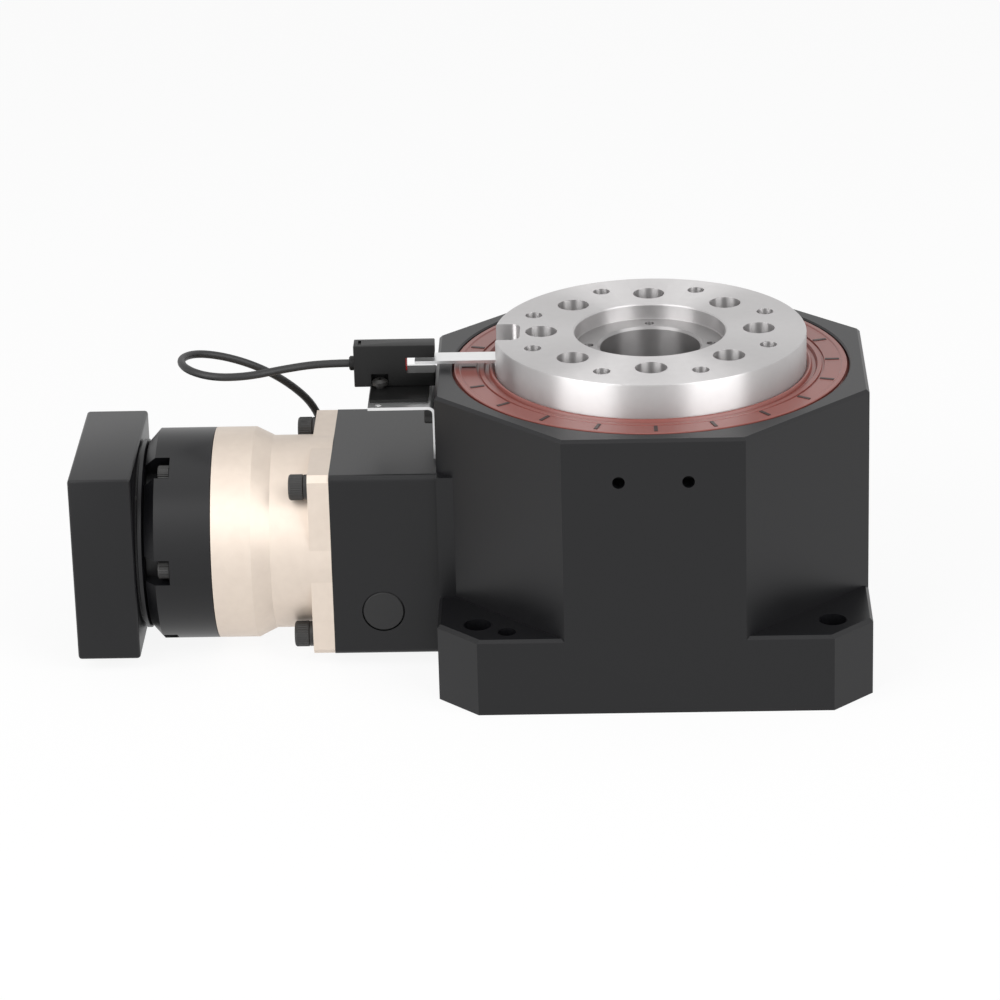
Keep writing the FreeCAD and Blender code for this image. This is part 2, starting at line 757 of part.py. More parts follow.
def pinion_shaft():
    """Bevel pinion and shaft in one piece, its far end bored and slit as a clamp."""
    angle = math.atan2(pinion_radius, ring_gear_radius)
    root = -bevel_dedendum * bevel_module
    outer_r, outer_u = bevel_point(pinion_radius, angle, root, 1.0)
    inner_r, inner_u = bevel_point(pinion_radius, angle, root, bevel_shrink)
    collar = pinion_radius - 0.5
    blank = turned([
        (0, inner_u), (inner_r, inner_u), (outer_r, outer_u), (collar, outer_u + 0.8),
        (collar, outer_u + 2.0), (pinion_neck, outer_u + 3.0), (pinion_neck, inner_bearing_start),
        (drive_bearing_bore - seat, inner_bearing_start), (drive_bearing_bore - seat, clamp_end),
        (0, clamp_end)])
    tooth = bevel_tooth(pinion_teeth, pinion_radius, angle)
    body = toothed(blank, tooth, pinion_teeth, 0.0)
    body = body.cut(disc(output_shaft_radius + seat, output_tip - 2.0, clamp_end + 1.0))
    reach = drive_bearing_bore + 1.0
    slit_start = clamp_end - collar_length - 2.5
    slits = [box((-reach, -collar_slit / 2.0, slit_start), (reach, collar_slit / 2.0, clamp_end + 1.0)),
             box((-collar_slit / 2.0, -reach, slit_start), (collar_slit / 2.0, reach, clamp_end + 1.0))]
    return on_drive(body.cut(group(slits)))


def pinion_lock_nut():
    """Slotted round nut that holds the pinion bearings on the shaft."""
    low, high = outer_bearing_end, outer_bearing_end + lock_nut_length
    body = ring(lock_nut_radius, drive_bearing_bore, low, high)
    slot = box((lock_nut_radius - 1.8, -2.5, low - 1.0), (lock_nut_radius + 1.0, 2.5, high + 1.0))
    slots = []
    for i in range(4):
        copy = slot.copy()
        copy.rotate(V(0, 0, 0), V(0, 0, 1), 45.0 + 90.0 * i)
        slots.append(copy)
    return on_drive(body.cut(group(slots)))


# Deep groove ball bearings of the drive line
def groove(ball_circle, ball_radius, middle):
    return Part.makeTorus(ball_circle, ball_radius + running, V(0, 0, middle), V(0, 0, 1))


def bearing_rings(bore, outer, width, ball_diameter, start):
    """Outer and inner ring of a ball bearing whose width starts at z=start."""
    ball_circle = (bore + outer) / 2.0
    shoulder = ball_diameter * 0.28
    middle = start + width / 2.0
    channel = groove(ball_circle, ball_diameter / 2.0, middle)
    outer_ring = ring(outer, ball_circle + shoulder, start, start + width).cut(channel)
    inner_ring = ring(ball_circle - shoulder, bore, start, start + width).cut(channel)
    return outer_ring, inner_ring


def bearing_balls(bore, outer, width, ball_diameter, count, start):
    middle = start + width / 2.0
    places = circle_places((bore + outer) / 2.0, count)
    return [Part.makeSphere(ball_diameter / 2.0, V(x, y, middle)) for x, y in places]


def drive_rings(start):
    return bearing_rings(drive_bearing_bore, drive_bearing_radius, drive_bearing_width,
                         drive_ball_diameter, start)


def input_rings():
    return bearing_rings(input_bearing_bore, input_bearing_radius, input_bearing_width,
                         input_ball_diameter, input_bearing_start)


def pinion_bearing_outer_rings():
    return on_drive(group([drive_rings(start)[0] for start in (inner_bearing_start, outer_bearing_start)]))


def pinion_bearing_inner_rings():
    return on_drive(group([drive_rings(start)[1] for start in (inner_bearing_start, outer_bearing_start)]))


def drive_bearing_balls():
    balls = []
    for start in (inner_bearing_start, outer_bearing_start, output_bearing_start):
        balls += bearing_balls(drive_bearing_bore, drive_bearing_radius, drive_bearing_width,
                               drive_ball_diameter, drive_ball_count, start)
    return on_drive(group(balls))


def gearbox_bearing_outer_rings():
    return on_drive(group([drive_rings(output_bearing_start)[0], input_rings()[0]]))


def output_bearing_inner_ring():
    return on_drive(drive_rings(output_bearing_start)[1])


def input_bearing_inner_ring():
    return on_drive(input_rings()[1])


def input_bearing_balls():
    return on_drive(group(bearing_balls(input_bearing_bore, input_bearing_radius, input_bearing_width,
                                        input_ball_diameter, input_ball_count, input_bearing_start)))


# Coupling housing between platform and gearbox, with the clamp inside it
def rounded_square(half, corner, low, high):
    """Square block about Z with rounded long edges."""
    block = box((-half, -half, low), (half, half, high))
    edges = [e for e in block.Edges if abs(e.tangentAt(e.FirstParameter).z) > 0.99]
    return block.makeFillet(corner, edges)


def coupling_housing():
    body = rounded_square(coupling_half, coupling_edge, face_u, coupling_end)
    lip = drive_bearing_radius - bearing_lip + 0.5
    spigot = ring(drive_bearing_radius, lip, outer_bearing_end, face_u + 1.0)
    body = body.fuse(spigot)
    bore = turned([
        (0, outer_bearing_end - 1.0), (lip, outer_bearing_end - 1.0),
        (lip, face_u + lock_nut_length), (coupling_bore, face_u + lock_nut_length),
        (coupling_bore, coupling_end + 1.0), (0, coupling_end + 1.0)])
    body = body.cut(bore)
    places = square_places(coupling_screw_offset)
    body = drilled(body, places, coupling_thread / 2.0 + 0.2, face_u - 1.0, coupling_end + 1.0)
    counterbore = head_radius(coupling_thread) + air
    body = drilled(body, places, counterbore, face_u + coupling_screw_seat, coupling_end + 1.0)
    gearbox_holes = square_places(flange_bolt_offset)
    depth = flange_screw_length - flange_thickness - washer_thickness + 1.0
    body = drilled(body, gearbox_holes, flange_thread / 2.0 + seat, coupling_end - depth, coupling_end + 1.0)
    body = on_drive(body)
    return body.cut(group([
        placed(disc(plug_stem + seat, -1.0, coupling_half), plug_place(), (0, 1, 0)),
        placed(disc(plug_radius + 0.1, -1.0, plug_head), plug_place(), (0, 1, 0))]))


def plug_place():
    """Centre of the access hole on the front face, in line with the clamp screw."""
    return (-collar_centre, -coupling_half, drive_height - clamp_offset)


def access_plug():
    body = turned([
        (0, 0), (plug_radius - 0.5, 0), (plug_radius, 0.5), (plug_radius, plug_head),
        (plug_stem, plug_head), (plug_stem, plug_head + plug_stem_length), (0, plug_head + plug_stem_length)])
    return placed(body, plug_place(), (0, 1, 0))


def coupling_housing_screws():
    screw = cap_screw(coupling_thread, coupling_screw_length)
    places = square_places(coupling_screw_offset)
    height = face_u + coupling_screw_seat
    return on_drive(group([placed(screw, (x, y, height), (0, 0, 1)) for x, y in places]))


def split_collar(radius, bore, length, start, thread, offset):
    """Clamp collar slit at -x, with a tangent screw hole that runs along y."""
    body = ring(radius, bore + seat, start, start + length)
    body = body.cut(box((-radius - 1.0, -collar_slit / 2.0, start - 1.0),
                        (0, collar_slit / 2.0, start + length + 1.0)))
    middle = start + length / 2.0
    shank = placed(disc(thread / 2.0 + seat, -radius, radius), (-offset, 0, middle), (0, 1, 0))
    head = disc(head_radius(thread) + 0.2, clamp_seat(thread), radius)
    head = placed(head, (-offset, 0, middle), (0, -1, 0))
    return body.cut(shank).cut(head)


def clamp_seat(thread):
    """Distance from the slit's middle to the seat of a clamp screw's head."""
    return 0.9 * thread


def collar_screw(length, start, thread, offset, screw_length):
    middle = start + length / 2.0
    return placed(cap_screw(thread, screw_length), (-offset, -clamp_seat(thread), middle), (0, -1, 0))


def collar_start():
    return collar_centre - collar_length / 2.0


def clamp_collar():
    return on_drive(split_collar(collar_radius, drive_bearing_bore, collar_length, collar_start(),
                                 clamp_thread, clamp_offset))


def clamp_screw():
    return on_drive(collar_screw(collar_length, collar_start(), clamp_thread, clamp_offset,
                                 clamp_screw_length))


# Planetary gearbox
def spur_outline(teeth, addendum, dedendum, thickening, start):
    """Closed outline of a spur gear; the first tooth points at start degrees."""
    pitch = gear_module * teeth / 2.0
    base = pitch * math.cos(math.radians(gear_pressure))
    root, tip = pitch - dedendum * gear_module, pitch + addendum * gear_module
    half_angle = (math.pi * gear_module / 2.0 + thickening) / pitch / 2.0
    radii = [root, max(base, root + 0.1), (pitch + max(base, root)) / 2.0, pitch, (pitch + tip) / 2.0, tip]
    flank = []
    for radius in radii:
        angle = half_angle + involute(math.radians(gear_pressure))
        if radius > base:
            angle -= involute(math.acos(base / radius))
        flank.append((radius, angle))
    points = []
    for i in range(teeth):
        middle = math.radians(start) + i * 2.0 * math.pi / teeth
        polar = [(r, middle - a) for r, a in flank] + [(r, middle + a) for r, a in reversed(flank)]
        points += [(r * math.cos(a), r * math.sin(a)) for r, a in polar]
    return points


def spur(teeth, start, low, high):
    return prism(spur_outline(teeth, gear_addendum, gear_dedendum, -gear_backlash, start), low, high)


def gearbox_housing():
    """Square flange, neck, cone and barrel in one casting, with the ring's teeth inside."""
    flange = box((-coupling_half, -coupling_half, coupling_end), (coupling_half, coupling_half, flange_end))
    edges = [e for e in flange.Edges if abs(e.tangentAt(e.FirstParameter).z) > 0.99]
    flange = flange.makeChamfer(flange_corner, edges)
    neck = flange_bolt_offset * math.sqrt(2.0) - head_radius(flange_thread) - neck_screw_gap
    barrel = turned([
        (0, coupling_end - gearbox_pilot_length), (coupling_bore - seat, coupling_end - gearbox_pilot_length),
        (coupling_bore - seat, coupling_end), (neck, coupling_end),
        (neck, neck_end), (gearbox_radius, cone_end), (gearbox_radius, gearbox_end),
        (0, gearbox_end)])
    body = barrel.fuse(flange).removeSplitter()
    seal_bore = drive_bearing_bore + output_seal_section
    cavity = turned([
        (0, coupling_end - gearbox_pilot_length - 1.0),
        (seal_bore + seat, coupling_end - gearbox_pilot_length - 1.0),
        (seal_bore + seat, output_bearing_start), (drive_bearing_radius + seat, output_bearing_start),
        (drive_bearing_radius + seat, output_bearing_end), (carrier_radius + 1.0, output_bearing_end),
        (carrier_radius + 1.0, first_plate_end + 0.5), (0, first_plate_end + 0.5)])
    teeth = prism(spur_outline(internal_teeth, 1.2, gear_addendum, gear_backlash, 180.0 / internal_teeth),
                  first_plate_end, gearbox_end + 1.0)
    body = body.cut([cavity, teeth])
    places = square_places(flange_bolt_offset)
    body = drilled(body, places, flange_thread / 2.0 + 0.2, coupling_end - 1.0, flange_end + 1.0)
    depth = input_screw_length - (input_housing_length - pocket_length) + 1.0
    body = drilled(body, input_screw_places(), input_thread / 2.0 + seat,
                   gearbox_end - depth, gearbox_end + 1.0)
    return on_drive(body)


def input_screw_places():
    return circle_places(input_screw_circle, input_screw_count, -90.0)


def flange_screws():
    screw = cap_screw(flange_thread, flange_screw_length)
    places = square_places(flange_bolt_offset)
    height = flange_end + washer_thickness
    return on_drive(group([placed(screw, (x, y, height), (0, 0, 1)) for x, y in places]))


def flange_spring_washers():
    """Split spring washers under the flange screws."""
    outer = head_radius(flange_thread) - 0.1
    washer = ring(outer, flange_thread / 2.0 + 0.1, flange_end, flange_end + washer_thickness)
    split = box((0, -0.3, flange_end - 1.0), (outer + 1.0, 0.3, flange_end + washer_thickness + 1.0))
    washer = washer.cut(split)
    washers = []
    for x, y in square_places(flange_bolt_offset):
        copy = washer.copy()
        copy.translate(V(x, y, 0))
        washers.append(copy)
    return on_drive(group(washers))


def output_seal():
    return on_drive(lip_seal(drive_bearing_bore, drive_bearing_bore + output_seal_section,
                             output_seal_start, output_seal_end))


def planet_places():
    return circle_places(planet_circle, planet_count)


def planet_carrier():
    """Output shaft with two carrier plates joined by three pillars."""
    shaft = turned([
        (0, output_tip), (output_shaft_radius - 0.5, output_tip), (output_shaft_radius, output_tip + 0.5),
        (output_shaft_radius, output_seal_start - 1.0), (drive_bearing_bore - seat, output_seal_start - 1.0),
        (drive_bearing_bore - seat, output_bearing_end), (drive_bearing_bore + 2.5, output_bearing_end),
        (drive_bearing_bore + 2.5, output_bearing_end + 0.5), (carrier_radius, output_bearing_end + 0.5),
        (carrier_radius, first_plate_end), (0, first_plate_end)])
    sun_clear = gear_module * (sun_teeth / 2.0 + 1.0) + 0.6
    plate = ring(carrier_radius, sun_clear, second_plate_start, second_plate_end)
    step = 180.0 / planet_count
    pillar_circle = planet_circle + 1.0
    pillar = disc(pillar_circle * 0.26, first_plate_end, second_plate_start)
    pillars = [placed(pillar, (x, y, 0), (0, 0, 1))
               for x, y in circle_places(pillar_circle, planet_count, step)]
    body = shaft.fuse([plate] + pillars).removeSplitter()
    return on_drive(drilled(body, planet_places(), planet_pin_radius,
                            planet_pin_start, second_plate_end + 1.0))


def planet_pins():
    pin = disc(planet_pin_radius, planet_pin_start, second_plate_end)
    return on_drive(group([placed(pin, (x, y, 0), (0, 0, 1)) for x, y in planet_places()]))


def planet_gear(index):
    """Planet with a tooth space towards the sun, on its pin."""
    angle = index * 360.0 / planet_count
    x, y = planet_places()[index]
    body = spur(planet_teeth, angle + 180.0 + 180.0 / planet_teeth, gear_start, gear_end)
    body = body.cut(disc(planet_pin_radius + running, gear_start - 1.0, gear_end + 1.0))
    body.translate(V(x, y, 0))
    return on_drive(body)


def sun_shaft():
    """Sun pinion, bearing seat and the bored hub that clamps the motor's shaft."""
    root = gear_module * (sun_teeth / 2.0 - gear_dedendum)
    shaft = turned([
        (0, gear_end), (root, gear_end), (root + 0.8, gear_end + 0.8), (root + 0.8, second_plate_end + 1.0),
        (input_bearing_bore + 2.0, second_plate_end + 2.0), (input_bearing_bore + 2.0, input_bearing_start),
        (input_bearing_bore - seat, input_bearing_start),
        (input_bearing_bore - seat, input_bearing_end + 0.5),
        (input_hub_radius, input_bearing_end + 1.5), (input_hub_radius, input_hub_end), (0, input_hub_end)])
    body = shaft.fuse(spur(sun_teeth, 0.0, gear_start, gear_end)).removeSplitter()
    body = body.cut(disc(motor_shaft_radius, input_bearing_end + 3.0, input_hub_end + 1.0))
    reach = input_hub_radius + 1.0
    slit_start = input_collar_start - 2.0
    slits = [box((-reach, -0.6, slit_start), (reach, 0.6, input_hub_end + 1.0)),
             box((-0.6, -reach, slit_start), (0.6, reach, input_hub_end + 1.0))]
    return on_drive(body.cut(group(slits)))


def input_collar():
    return on_drive(split_collar(input_collar_radius, input_hub_radius, input_collar_length,
                                 input_collar_start, input_clamp_thread, input_clamp_offset))


def input_collar_screw():
    return on_drive(collar_screw(input_collar_length, input_collar_start, input_clamp_thread,
                                 input_clamp_offset, input_clamp_screw_length))


# Input housing and motor plate
def input_housing():
    """Barrel with six pockets for the cap screws that hold it to the gearbox."""
    cavity_end = second_plate_end + 1.0
    lip = input_bearing_radius - input_bearing_lip
    body = turned([
        (carrier_radius + 1.0, gearbox_end), (gearbox_radius, gearbox_end),
        (gearbox_radius, input_end - input_chamfer),
        (gearbox_radius - input_chamfer * 0.6, input_end), (input_bearing_radius + seat, input_end),
        (input_bearing_radius + seat, input_bearing_start), (lip, input_bearing_start), (lip, cavity_end),
        (carrier_radius + 1.0, cavity_end)])
    inner = input_screw_circle - pocket_width / 2.0
    low = input_end - pocket_length
    pocket = box((inner, -pocket_width / 2.0, low),
                 (gearbox_radius + 2.0, pocket_width / 2.0, input_end + 1.0))
    pockets = []
    for i in range(input_screw_count):
        copy = pocket.copy()
        copy.rotate(V(0, 0, 0), V(0, 0, 1), -90.0 + i * 360.0 / input_screw_count)
        pockets.append(copy)
    body = body.cut(group(pockets))
    body = drilled(body, input_screw_places(), input_thread / 2.0 + 0.2, gearbox_end - 1.0, input_end + 1.0)
    hole_low = boss_end + plate_screw_seat() - plate_screw_length - 1.0
    return on_drive(drilled(body, plate_screw_places(), plate_screw_thread / 2.0 + seat,
                            hole_low, input_end + 1.0))


def input_housing_screws():
    screw = cap_screw(input_thread, input_screw_length)
    height = input_end - pocket_length
    return on_drive(group([placed(screw, (x, y, height), (0, 0, 1)) for x, y in input_screw_places()]))


def plate_screw_places():
    return circle_places(plate_screw_circle, 4, 45.0)


def plate_screw_seat():
    """Distance of the plate screws' seats from the plate's right face."""
    return motor_plate_length - motor_pilot_depth - plate_screw_thread - 3.0


def motor_plate():
    """Square adapter plate with a round boss, bored for the motor's pilot and clamp."""
    block = rounded_square(motor_plate_half, motor_plate_corner, boss_end, drive_end)
    wedge = motor_plate_chamfer
    rim = motor_plate_half * 1.414 - 1.0
    cone = turned([
        (motor_plate_half * 2.0, boss_end - 1.0), (motor_plate_half * 2.0, boss_end + wedge),
        (rim, boss_end + wedge), (rim - wedge, boss_end), (rim - wedge, boss_end - 1.0)])
    block = block.cut(cone)
    boss = disc(motor_boss_radius, input_end, boss_end + 1.0)
    spigot = disc(input_bearing_radius, input_bearing_end, input_end + 1.0)
    body = block.fuse([boss, spigot]).removeSplitter()
    lip = input_bearing_radius - input_bearing_lip
    clear = input_collar_radius + 1.0
    bore = turned([
        (0, input_bearing_end - 1.0), (lip, input_bearing_end - 1.0), (lip, input_collar_start - 2.0),
        (clear, input_collar_start - 2.0), (clear, drive_end - motor_pilot_depth),
        (motor_pilot_radius, drive_end - motor_pilot_depth), (motor_pilot_radius, drive_end + 1.0),
        (0, drive_end + 1.0)])
    body = body.cut(bore)
    body = drilled(body, square_places(motor_bolt_offset), motor_thread / 2.0,
                   drive_end - motor_hole_depth, drive_end + 1.0)
    seat_u = boss_end + plate_screw_seat()
    places = plate_screw_places()
    body = drilled(body, places, plate_screw_thread / 2.0 + 0.2, input_end - 1.0, drive_end + 1.0)
    body = drilled(body, places, head_radius(plate_screw_thread) + 0.2, seat_u, drive_end + 1.0)
    reach = motor_plate_half + 1.0
    hole = placed(disc(plug_stem + seat, 0.0, reach), access_place(0.0), (0, 1, 0))
    return on_drive(body.cut(hole))


def access_place(y):
    """Point on the axis of the motor clamp screw's access hole, at the back of the plate."""
    return (-input_clamp_offset, y, input_collar_start + input_collar_length / 2.0)


def motor_plate_plug():
    body = turned([
        (0, 0), (plug_stem, 0), (plug_stem, plug_stem_length - 0.5), (plug_stem - 0.5, plug_stem_length),
        (0, plug_stem_length)])
    return on_drive(placed(body, access_place(motor_plate_half - plug_stem_length), (0, 1, 0)))


def motor_plate_screws():
    screw = cap_screw(plate_screw_thread, plate_screw_length)
    height = boss_end + plate_screw_seat()
    return on_drive(group([placed(screw, (x, y, height), (0, 0, 1)) for x, y in plate_screw_places()]))


# Home sensor and its bracket
def sensor_screw_places():
    """Plan places of the two sensor screws, one in front and one behind."""
    return [(-sensor_screw_u, -sensor_screw_pitch), (-sensor_screw_u, sensor_screw_pitch)]


def sensor_body():
    """Slot type photo sensor: two jaws that face each other across the slot."""
    half = sensor_width / 2.0
    body = box((-sensor_left, -half, sensor_bottom), (-sensor_right, half, sensor_top))
    slot = box((-sensor_right - sensor_slot_depth, -half - 1.0, slot_top - sensor_slot_height),
               (-sensor_right + 1.0, half + 1.0, slot_top))
    window = box((-sensor_left + 1.2, -1.2, sensor_top - 0.6), (-sensor_left + 2.8, 1.2, sensor_top + 1.0))
    body = body.cut([slot, window])
    well = sensor_bottom + sensor_foot
    body = drilled(body, sensor_screw_places(), head_radius(small_thread) + 0.2,
                   well, well + sensor_height * 0.45)
    return drilled(body, sensor_screw_places(), small_thread / 2.0 + 0.1, sensor_bottom - 1.0, well + 1.0)


def cable_gland():
    body = turned([(0, 0), (gland_radius, 0), (gland_radius, gland_length - 0.4),
                   (gland_radius - 0.4, gland_length), (0, gland_length)])
    return placed(body, (-sensor_left, 0, gland_height), (-1, 0, 0))


def plan_plate(length, half_width, low, high):
    """Flat plate whose right edge lies a bend away from the housing."""
    start = tower_half + bracket_thickness + bracket_bend
    return box((-tower_half - length, -half_width, low), (-start, half_width, high))


def sensor_mount():
    """Thin black plate between sensor and bracket."""
    body = plan_plate(mount_length, mount_half_width, mount_bottom, sensor_bottom)
    holes = [Part.makeCylinder(small_thread / 2.0 + 0.1, mount_thickness + 2.0, V(x, y, mount_bottom - 1.0))
             for x, y in sensor_screw_places()]
    return body.cut(group(holes))


def sensor_bracket():
    """Folded steel angle: one leg under the sensor, one screwed to the housing."""
    t = bracket_thickness
    outer = bracket_bend + t
    low = bracket_bottom
    x0 = -tower_half
    start = V(x0 - bracket_length, 0, bracket_top)
    bend_a = V(x0 - outer, 0, bracket_top)
    bend_b = V(x0, 0, bracket_top - outer)
    centre = V(x0 - outer, 0, bracket_top - outer)
    turn = math.sqrt(0.5)
    outer_arc = Part.Arc(bend_a, centre + V(turn, 0, turn) * outer, bend_b).toShape()
    inner_arc = Part.Arc(V(x0 - t, 0, bracket_top - outer), centre + V(turn, 0, turn) * bracket_bend,
                         V(x0 - outer, 0, bracket_top - t)).toShape()
    edges = [
        Part.makeLine(start, bend_a), outer_arc, Part.makeLine(bend_b, V(x0, 0, low)),
        Part.makeLine(V(x0, 0, low), V(x0 - t, 0, low)),
        Part.makeLine(V(x0 - t, 0, low), V(x0 - t, 0, bracket_top - outer)), inner_arc,
        Part.makeLine(V(x0 - outer, 0, bracket_top - t), V(x0 - bracket_length, 0, bracket_top - t)),
        Part.makeLine(V(x0 - bracket_length, 0, bracket_top - t), start)]
    body = Part.Face(Part.Wire(edges)).extrude(V(0, 2.0 * bracket_half_width, 0))
    body.translate(V(0, -bracket_half_width, 0))
    holes = [Part.makeCylinder(small_thread / 2.0 + 0.1, t + 2.0, V(x, y, bracket_top - t - 1.0))
             for x, y in sensor_screw_places()]
    holes += [Part.makeCylinder(1.0, t + 2.0, V(-sensor_screw_u, y, bracket_top - t - 1.0))
              for y in (2.0 - bracket_half_width, bracket_half_width - 2.0)]
    holes += [placed(disc(small_thread / 2.0 + 0.2, -t - 1.0, 1.0),
                     (x0, y, bracket_top - bracket_screw_drop), (1, 0, 0))
              for y in (-bracket_screw_offset, bracket_screw_offset)]
    return body.cut(group(holes))


def bracket_screws():
    screw = cap_screw(small_thread, small_screw_length)
    x, height = -tower_half - bracket_thickness, bracket_top - bracket_screw_drop
    return group([placed(screw, (x, y, height), (-1, 0, 0))
                  for y in (-bracket_screw_offset, bracket_screw_offset)])


def sensor_screws():
    """Pan head screws that pass through sensor foot, mount and bracket."""
    head = head_radius(small_thread) - 0.1
    screw = turned([(0, 1.9), (head * 0.55, 1.9), (head, 1.1), (head, 0), (small_thread / 2.0, 0),
                    (small_thread / 2.0, -sensor_screw_length), (0, -sensor_screw_length)])
    cross = group([box((-1.4, -0.3, 1.0), (1.4, 0.3, 3.0)), box((-0.3, -1.4, 1.0), (0.3, 1.4, 3.0))])
    screw = screw.cut(cross)
    height = sensor_bottom + sensor_foot
    return group([placed(screw, (x, y, height), (0, 0, 1)) for x, y in sensor_screw_places()])


def sensor_nuts():
    nut = hexagon(small_thread * 0.9, -2.4, 0.0).cut(disc(small_thread / 2.0, -3.0, 1.0))
    height = bracket_top - bracket_thickness
    return group([placed(nut, (x, y, height), (0, 0, 1)) for x, y in sensor_screw_places()])


# Sensor cable: straight runs joined by tangent arcs
def cable_edges(points):
    """Lines and arcs along the route, each arc as large as its runs allow."""
    route = [V(*p) for p in points]
    edges, length = [], 0.0
    here = route[0]
    for before, corner, after in zip(route, route[1:], route[2:]):
        back, ahead = before - corner, after - corner
        turn = math.pi - back.getAngle(ahead)
        reach = 0.45 * min(back.Length, ahead.Length)
        radius = reach / math.tan(turn / 2.0)
        print("cable arc radius %.1f" % radius)
        start = corner + back.normalize() * reach
        end = corner + ahead.normalize() * reach
        inward = (back + ahead).normalize()
        centre = corner + inward * (radius / math.cos(turn / 2.0))
        middle = centre - inward * radius
        edges += [Part.LineSegment(here, start).toShape(), Part.Arc(start, middle, end).toShape()]
        length += (start - here).Length + radius * turn
        here = end
    edges.append(Part.LineSegment(here, route[-1]).toShape())
    return edges, length + (route[-1] - here).Length


def sensor_cable():
    edges, length = cable_edges(cable_route)
    path = Part.Wire(edges)
    first = V(*cable_route[1]) - V(*cable_route[0])
    section = Part.Wire(Part.makeCircle(cable_radius, V(*cable_route[0]), first))
    tube = path.makePipeShell([section], True, True, 1)
    expected = math.pi * cable_radius ** 2 * length
    print("cable tube %.0f mm, volume %.1f, expected %.1f" % (length, tube.Volume, expected))
    print("cable in the coil %.0f mm" % (cable_length - length))
    return tube


def sensor_cable_coil():
    """Outer shape of the put-away coil, notched where the cable enters and leaves."""
    x, y = coil_centre
    top = 2.0 * coil_half
    body = ring(coil_mean_radius + coil_half, coil_mean_radius - coil_half, 0.0, top)
    body.translate(V(x, y, 0))
    reach = coil_mean_radius + coil_half + 1.0
    slot = 2.0 * cable_radius + air
    entry = box((x - reach, y - reach, top - slot), (x - reach + 1.0 + slot, y, top + 1.0))
    leaving = box((x + reach - 1.0 - slot, y - reach, -1.0), (x + reach, y, slot))
    return body.cut([entry, leaving])


def cable_cores():
    """Four bare cores at the cable's far end, lying beside the coil."""
    x = coil_centre[0] + coil_mean_radius + coil_half - cable_radius
    spread = cable_radius - core_radius
    cores = []
    for dx, height in ((-spread, core_radius), (spread, core_radius), (-0.5 * spread, 3.2 * core_radius),
                       (0.5 * spread, 3.2 * core_radius)):
        start = (x + dx, coil_centre[1], height)
        cores.append(placed(disc(core_radius, 0.0, core_length), start, (0, -1, 0)))
    return group(cores)


pieces = {
    "housing": housing(),
    "bottom_cover": bottom_cover(),
    "bottom_cover_screws": bottom_cover_screws(),
    "lower_shaft_seal": lower_shaft_seal(),
    "table_seal": table_seal(),
    "main_bearing_outer_ring": main_bearing_outer_ring(),
    "main_bearing_screws": main_bearing_screws(),
    "main_bearing_inner_ring": main_bearing_inner_ring(),
    "main_bearing_rollers": main_bearing_rollers(),
    "turntable": turntable(),
    "hollow_shaft": hollow_shaft(),
    "table_screws": table_screws(),
    "ring_gear": ring_gear(),
    "sensor_dog": sensor_dog(),
    "dog_screw": dog_screw(),
    "pinion_shaft": pinion_shaft(),
    "pinion_lock_nut": pinion_lock_nut(),
    "pinion_bearing_outer_rings": pinion_bearing_outer_rings(),
    "pinion_bearing_inner_rings": pinion_bearing_inner_rings(),
    "drive_bearing_balls": drive_bearing_balls(),
    "coupling_housing": coupling_housing(),
    "coupling_housing_screws": coupling_housing_screws(),
    "access_plug": access_plug(),
    "clamp_collar": clamp_collar(),
    "clamp_screw": clamp_screw(),
    "gearbox_housing": gearbox_housing(),
    "flange_screws": flange_screws(),
    "flange_spring_washers": flange_spring_washers(),
    "output_seal": output_seal(),
    "gearbox_bearing_outer_rings": gearbox_bearing_outer_rings(),
    "output_bearing_inner_ring": output_bearing_inner_ring(),
    "planet_carrier": planet_carrier(),
    "planet_pins": planet_pins(),
    "sun_shaft": sun_shaft(),
    "input_bearing_inner_ring": input_bearing_inner_ring(),
    "input_bearing_balls": input_bearing_balls(),
    "input_collar": input_collar(),
    "input_collar_screw": input_collar_screw(),
    "input_housing": input_housing(),
    "input_housing_screws": input_housing_screws(),
    "motor_plate": motor_plate(),
    "motor_plate_screws": motor_plate_screws(),
    "motor_plate_plug": motor_plate_plug(),
    "sensor_body": sensor_body(),
    "sensor_screws": sensor_screws(),
    "sensor_nuts": sensor_nuts(),
    "sensor_mount": sensor_mount(),
    "sensor_bracket": sensor_bracket(),
    "bracket_screws": bracket_screws(),
    "cable_gland": cable_gland(),
    "sensor_cable": sensor_cable(),
    "sensor_cable_coil": sensor_cable_coil(),
    "cable_cores": cable_cores(),
}
for number in range(planet_count):
    pieces["planet_gear_%d" % (number + 1)] = planet_gear(number)

for name, shape in pieces.items():
    shape.exportStep("parts/%s.step" % name)
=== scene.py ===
import math
import bmesh
import bpy
import mathutils
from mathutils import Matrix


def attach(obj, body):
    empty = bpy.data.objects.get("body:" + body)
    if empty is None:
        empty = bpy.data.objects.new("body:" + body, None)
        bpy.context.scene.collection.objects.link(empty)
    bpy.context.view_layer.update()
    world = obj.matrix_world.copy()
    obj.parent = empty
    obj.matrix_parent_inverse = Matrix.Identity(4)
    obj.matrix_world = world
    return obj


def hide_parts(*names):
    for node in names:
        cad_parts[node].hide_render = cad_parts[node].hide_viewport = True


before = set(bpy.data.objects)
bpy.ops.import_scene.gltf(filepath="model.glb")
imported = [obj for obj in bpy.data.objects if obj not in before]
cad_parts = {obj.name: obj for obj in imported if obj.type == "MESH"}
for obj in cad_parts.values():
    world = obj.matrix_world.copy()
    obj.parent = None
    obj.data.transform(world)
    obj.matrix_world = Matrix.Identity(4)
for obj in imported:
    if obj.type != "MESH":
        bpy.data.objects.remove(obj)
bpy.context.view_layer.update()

# Camera, light and floor: the photograph's view from the front, 22 degrees
# above a pale paper floor, under three softboxes in a white studio.
scene = bpy.context.scene
scene.view_settings.view_transform = "Standard"

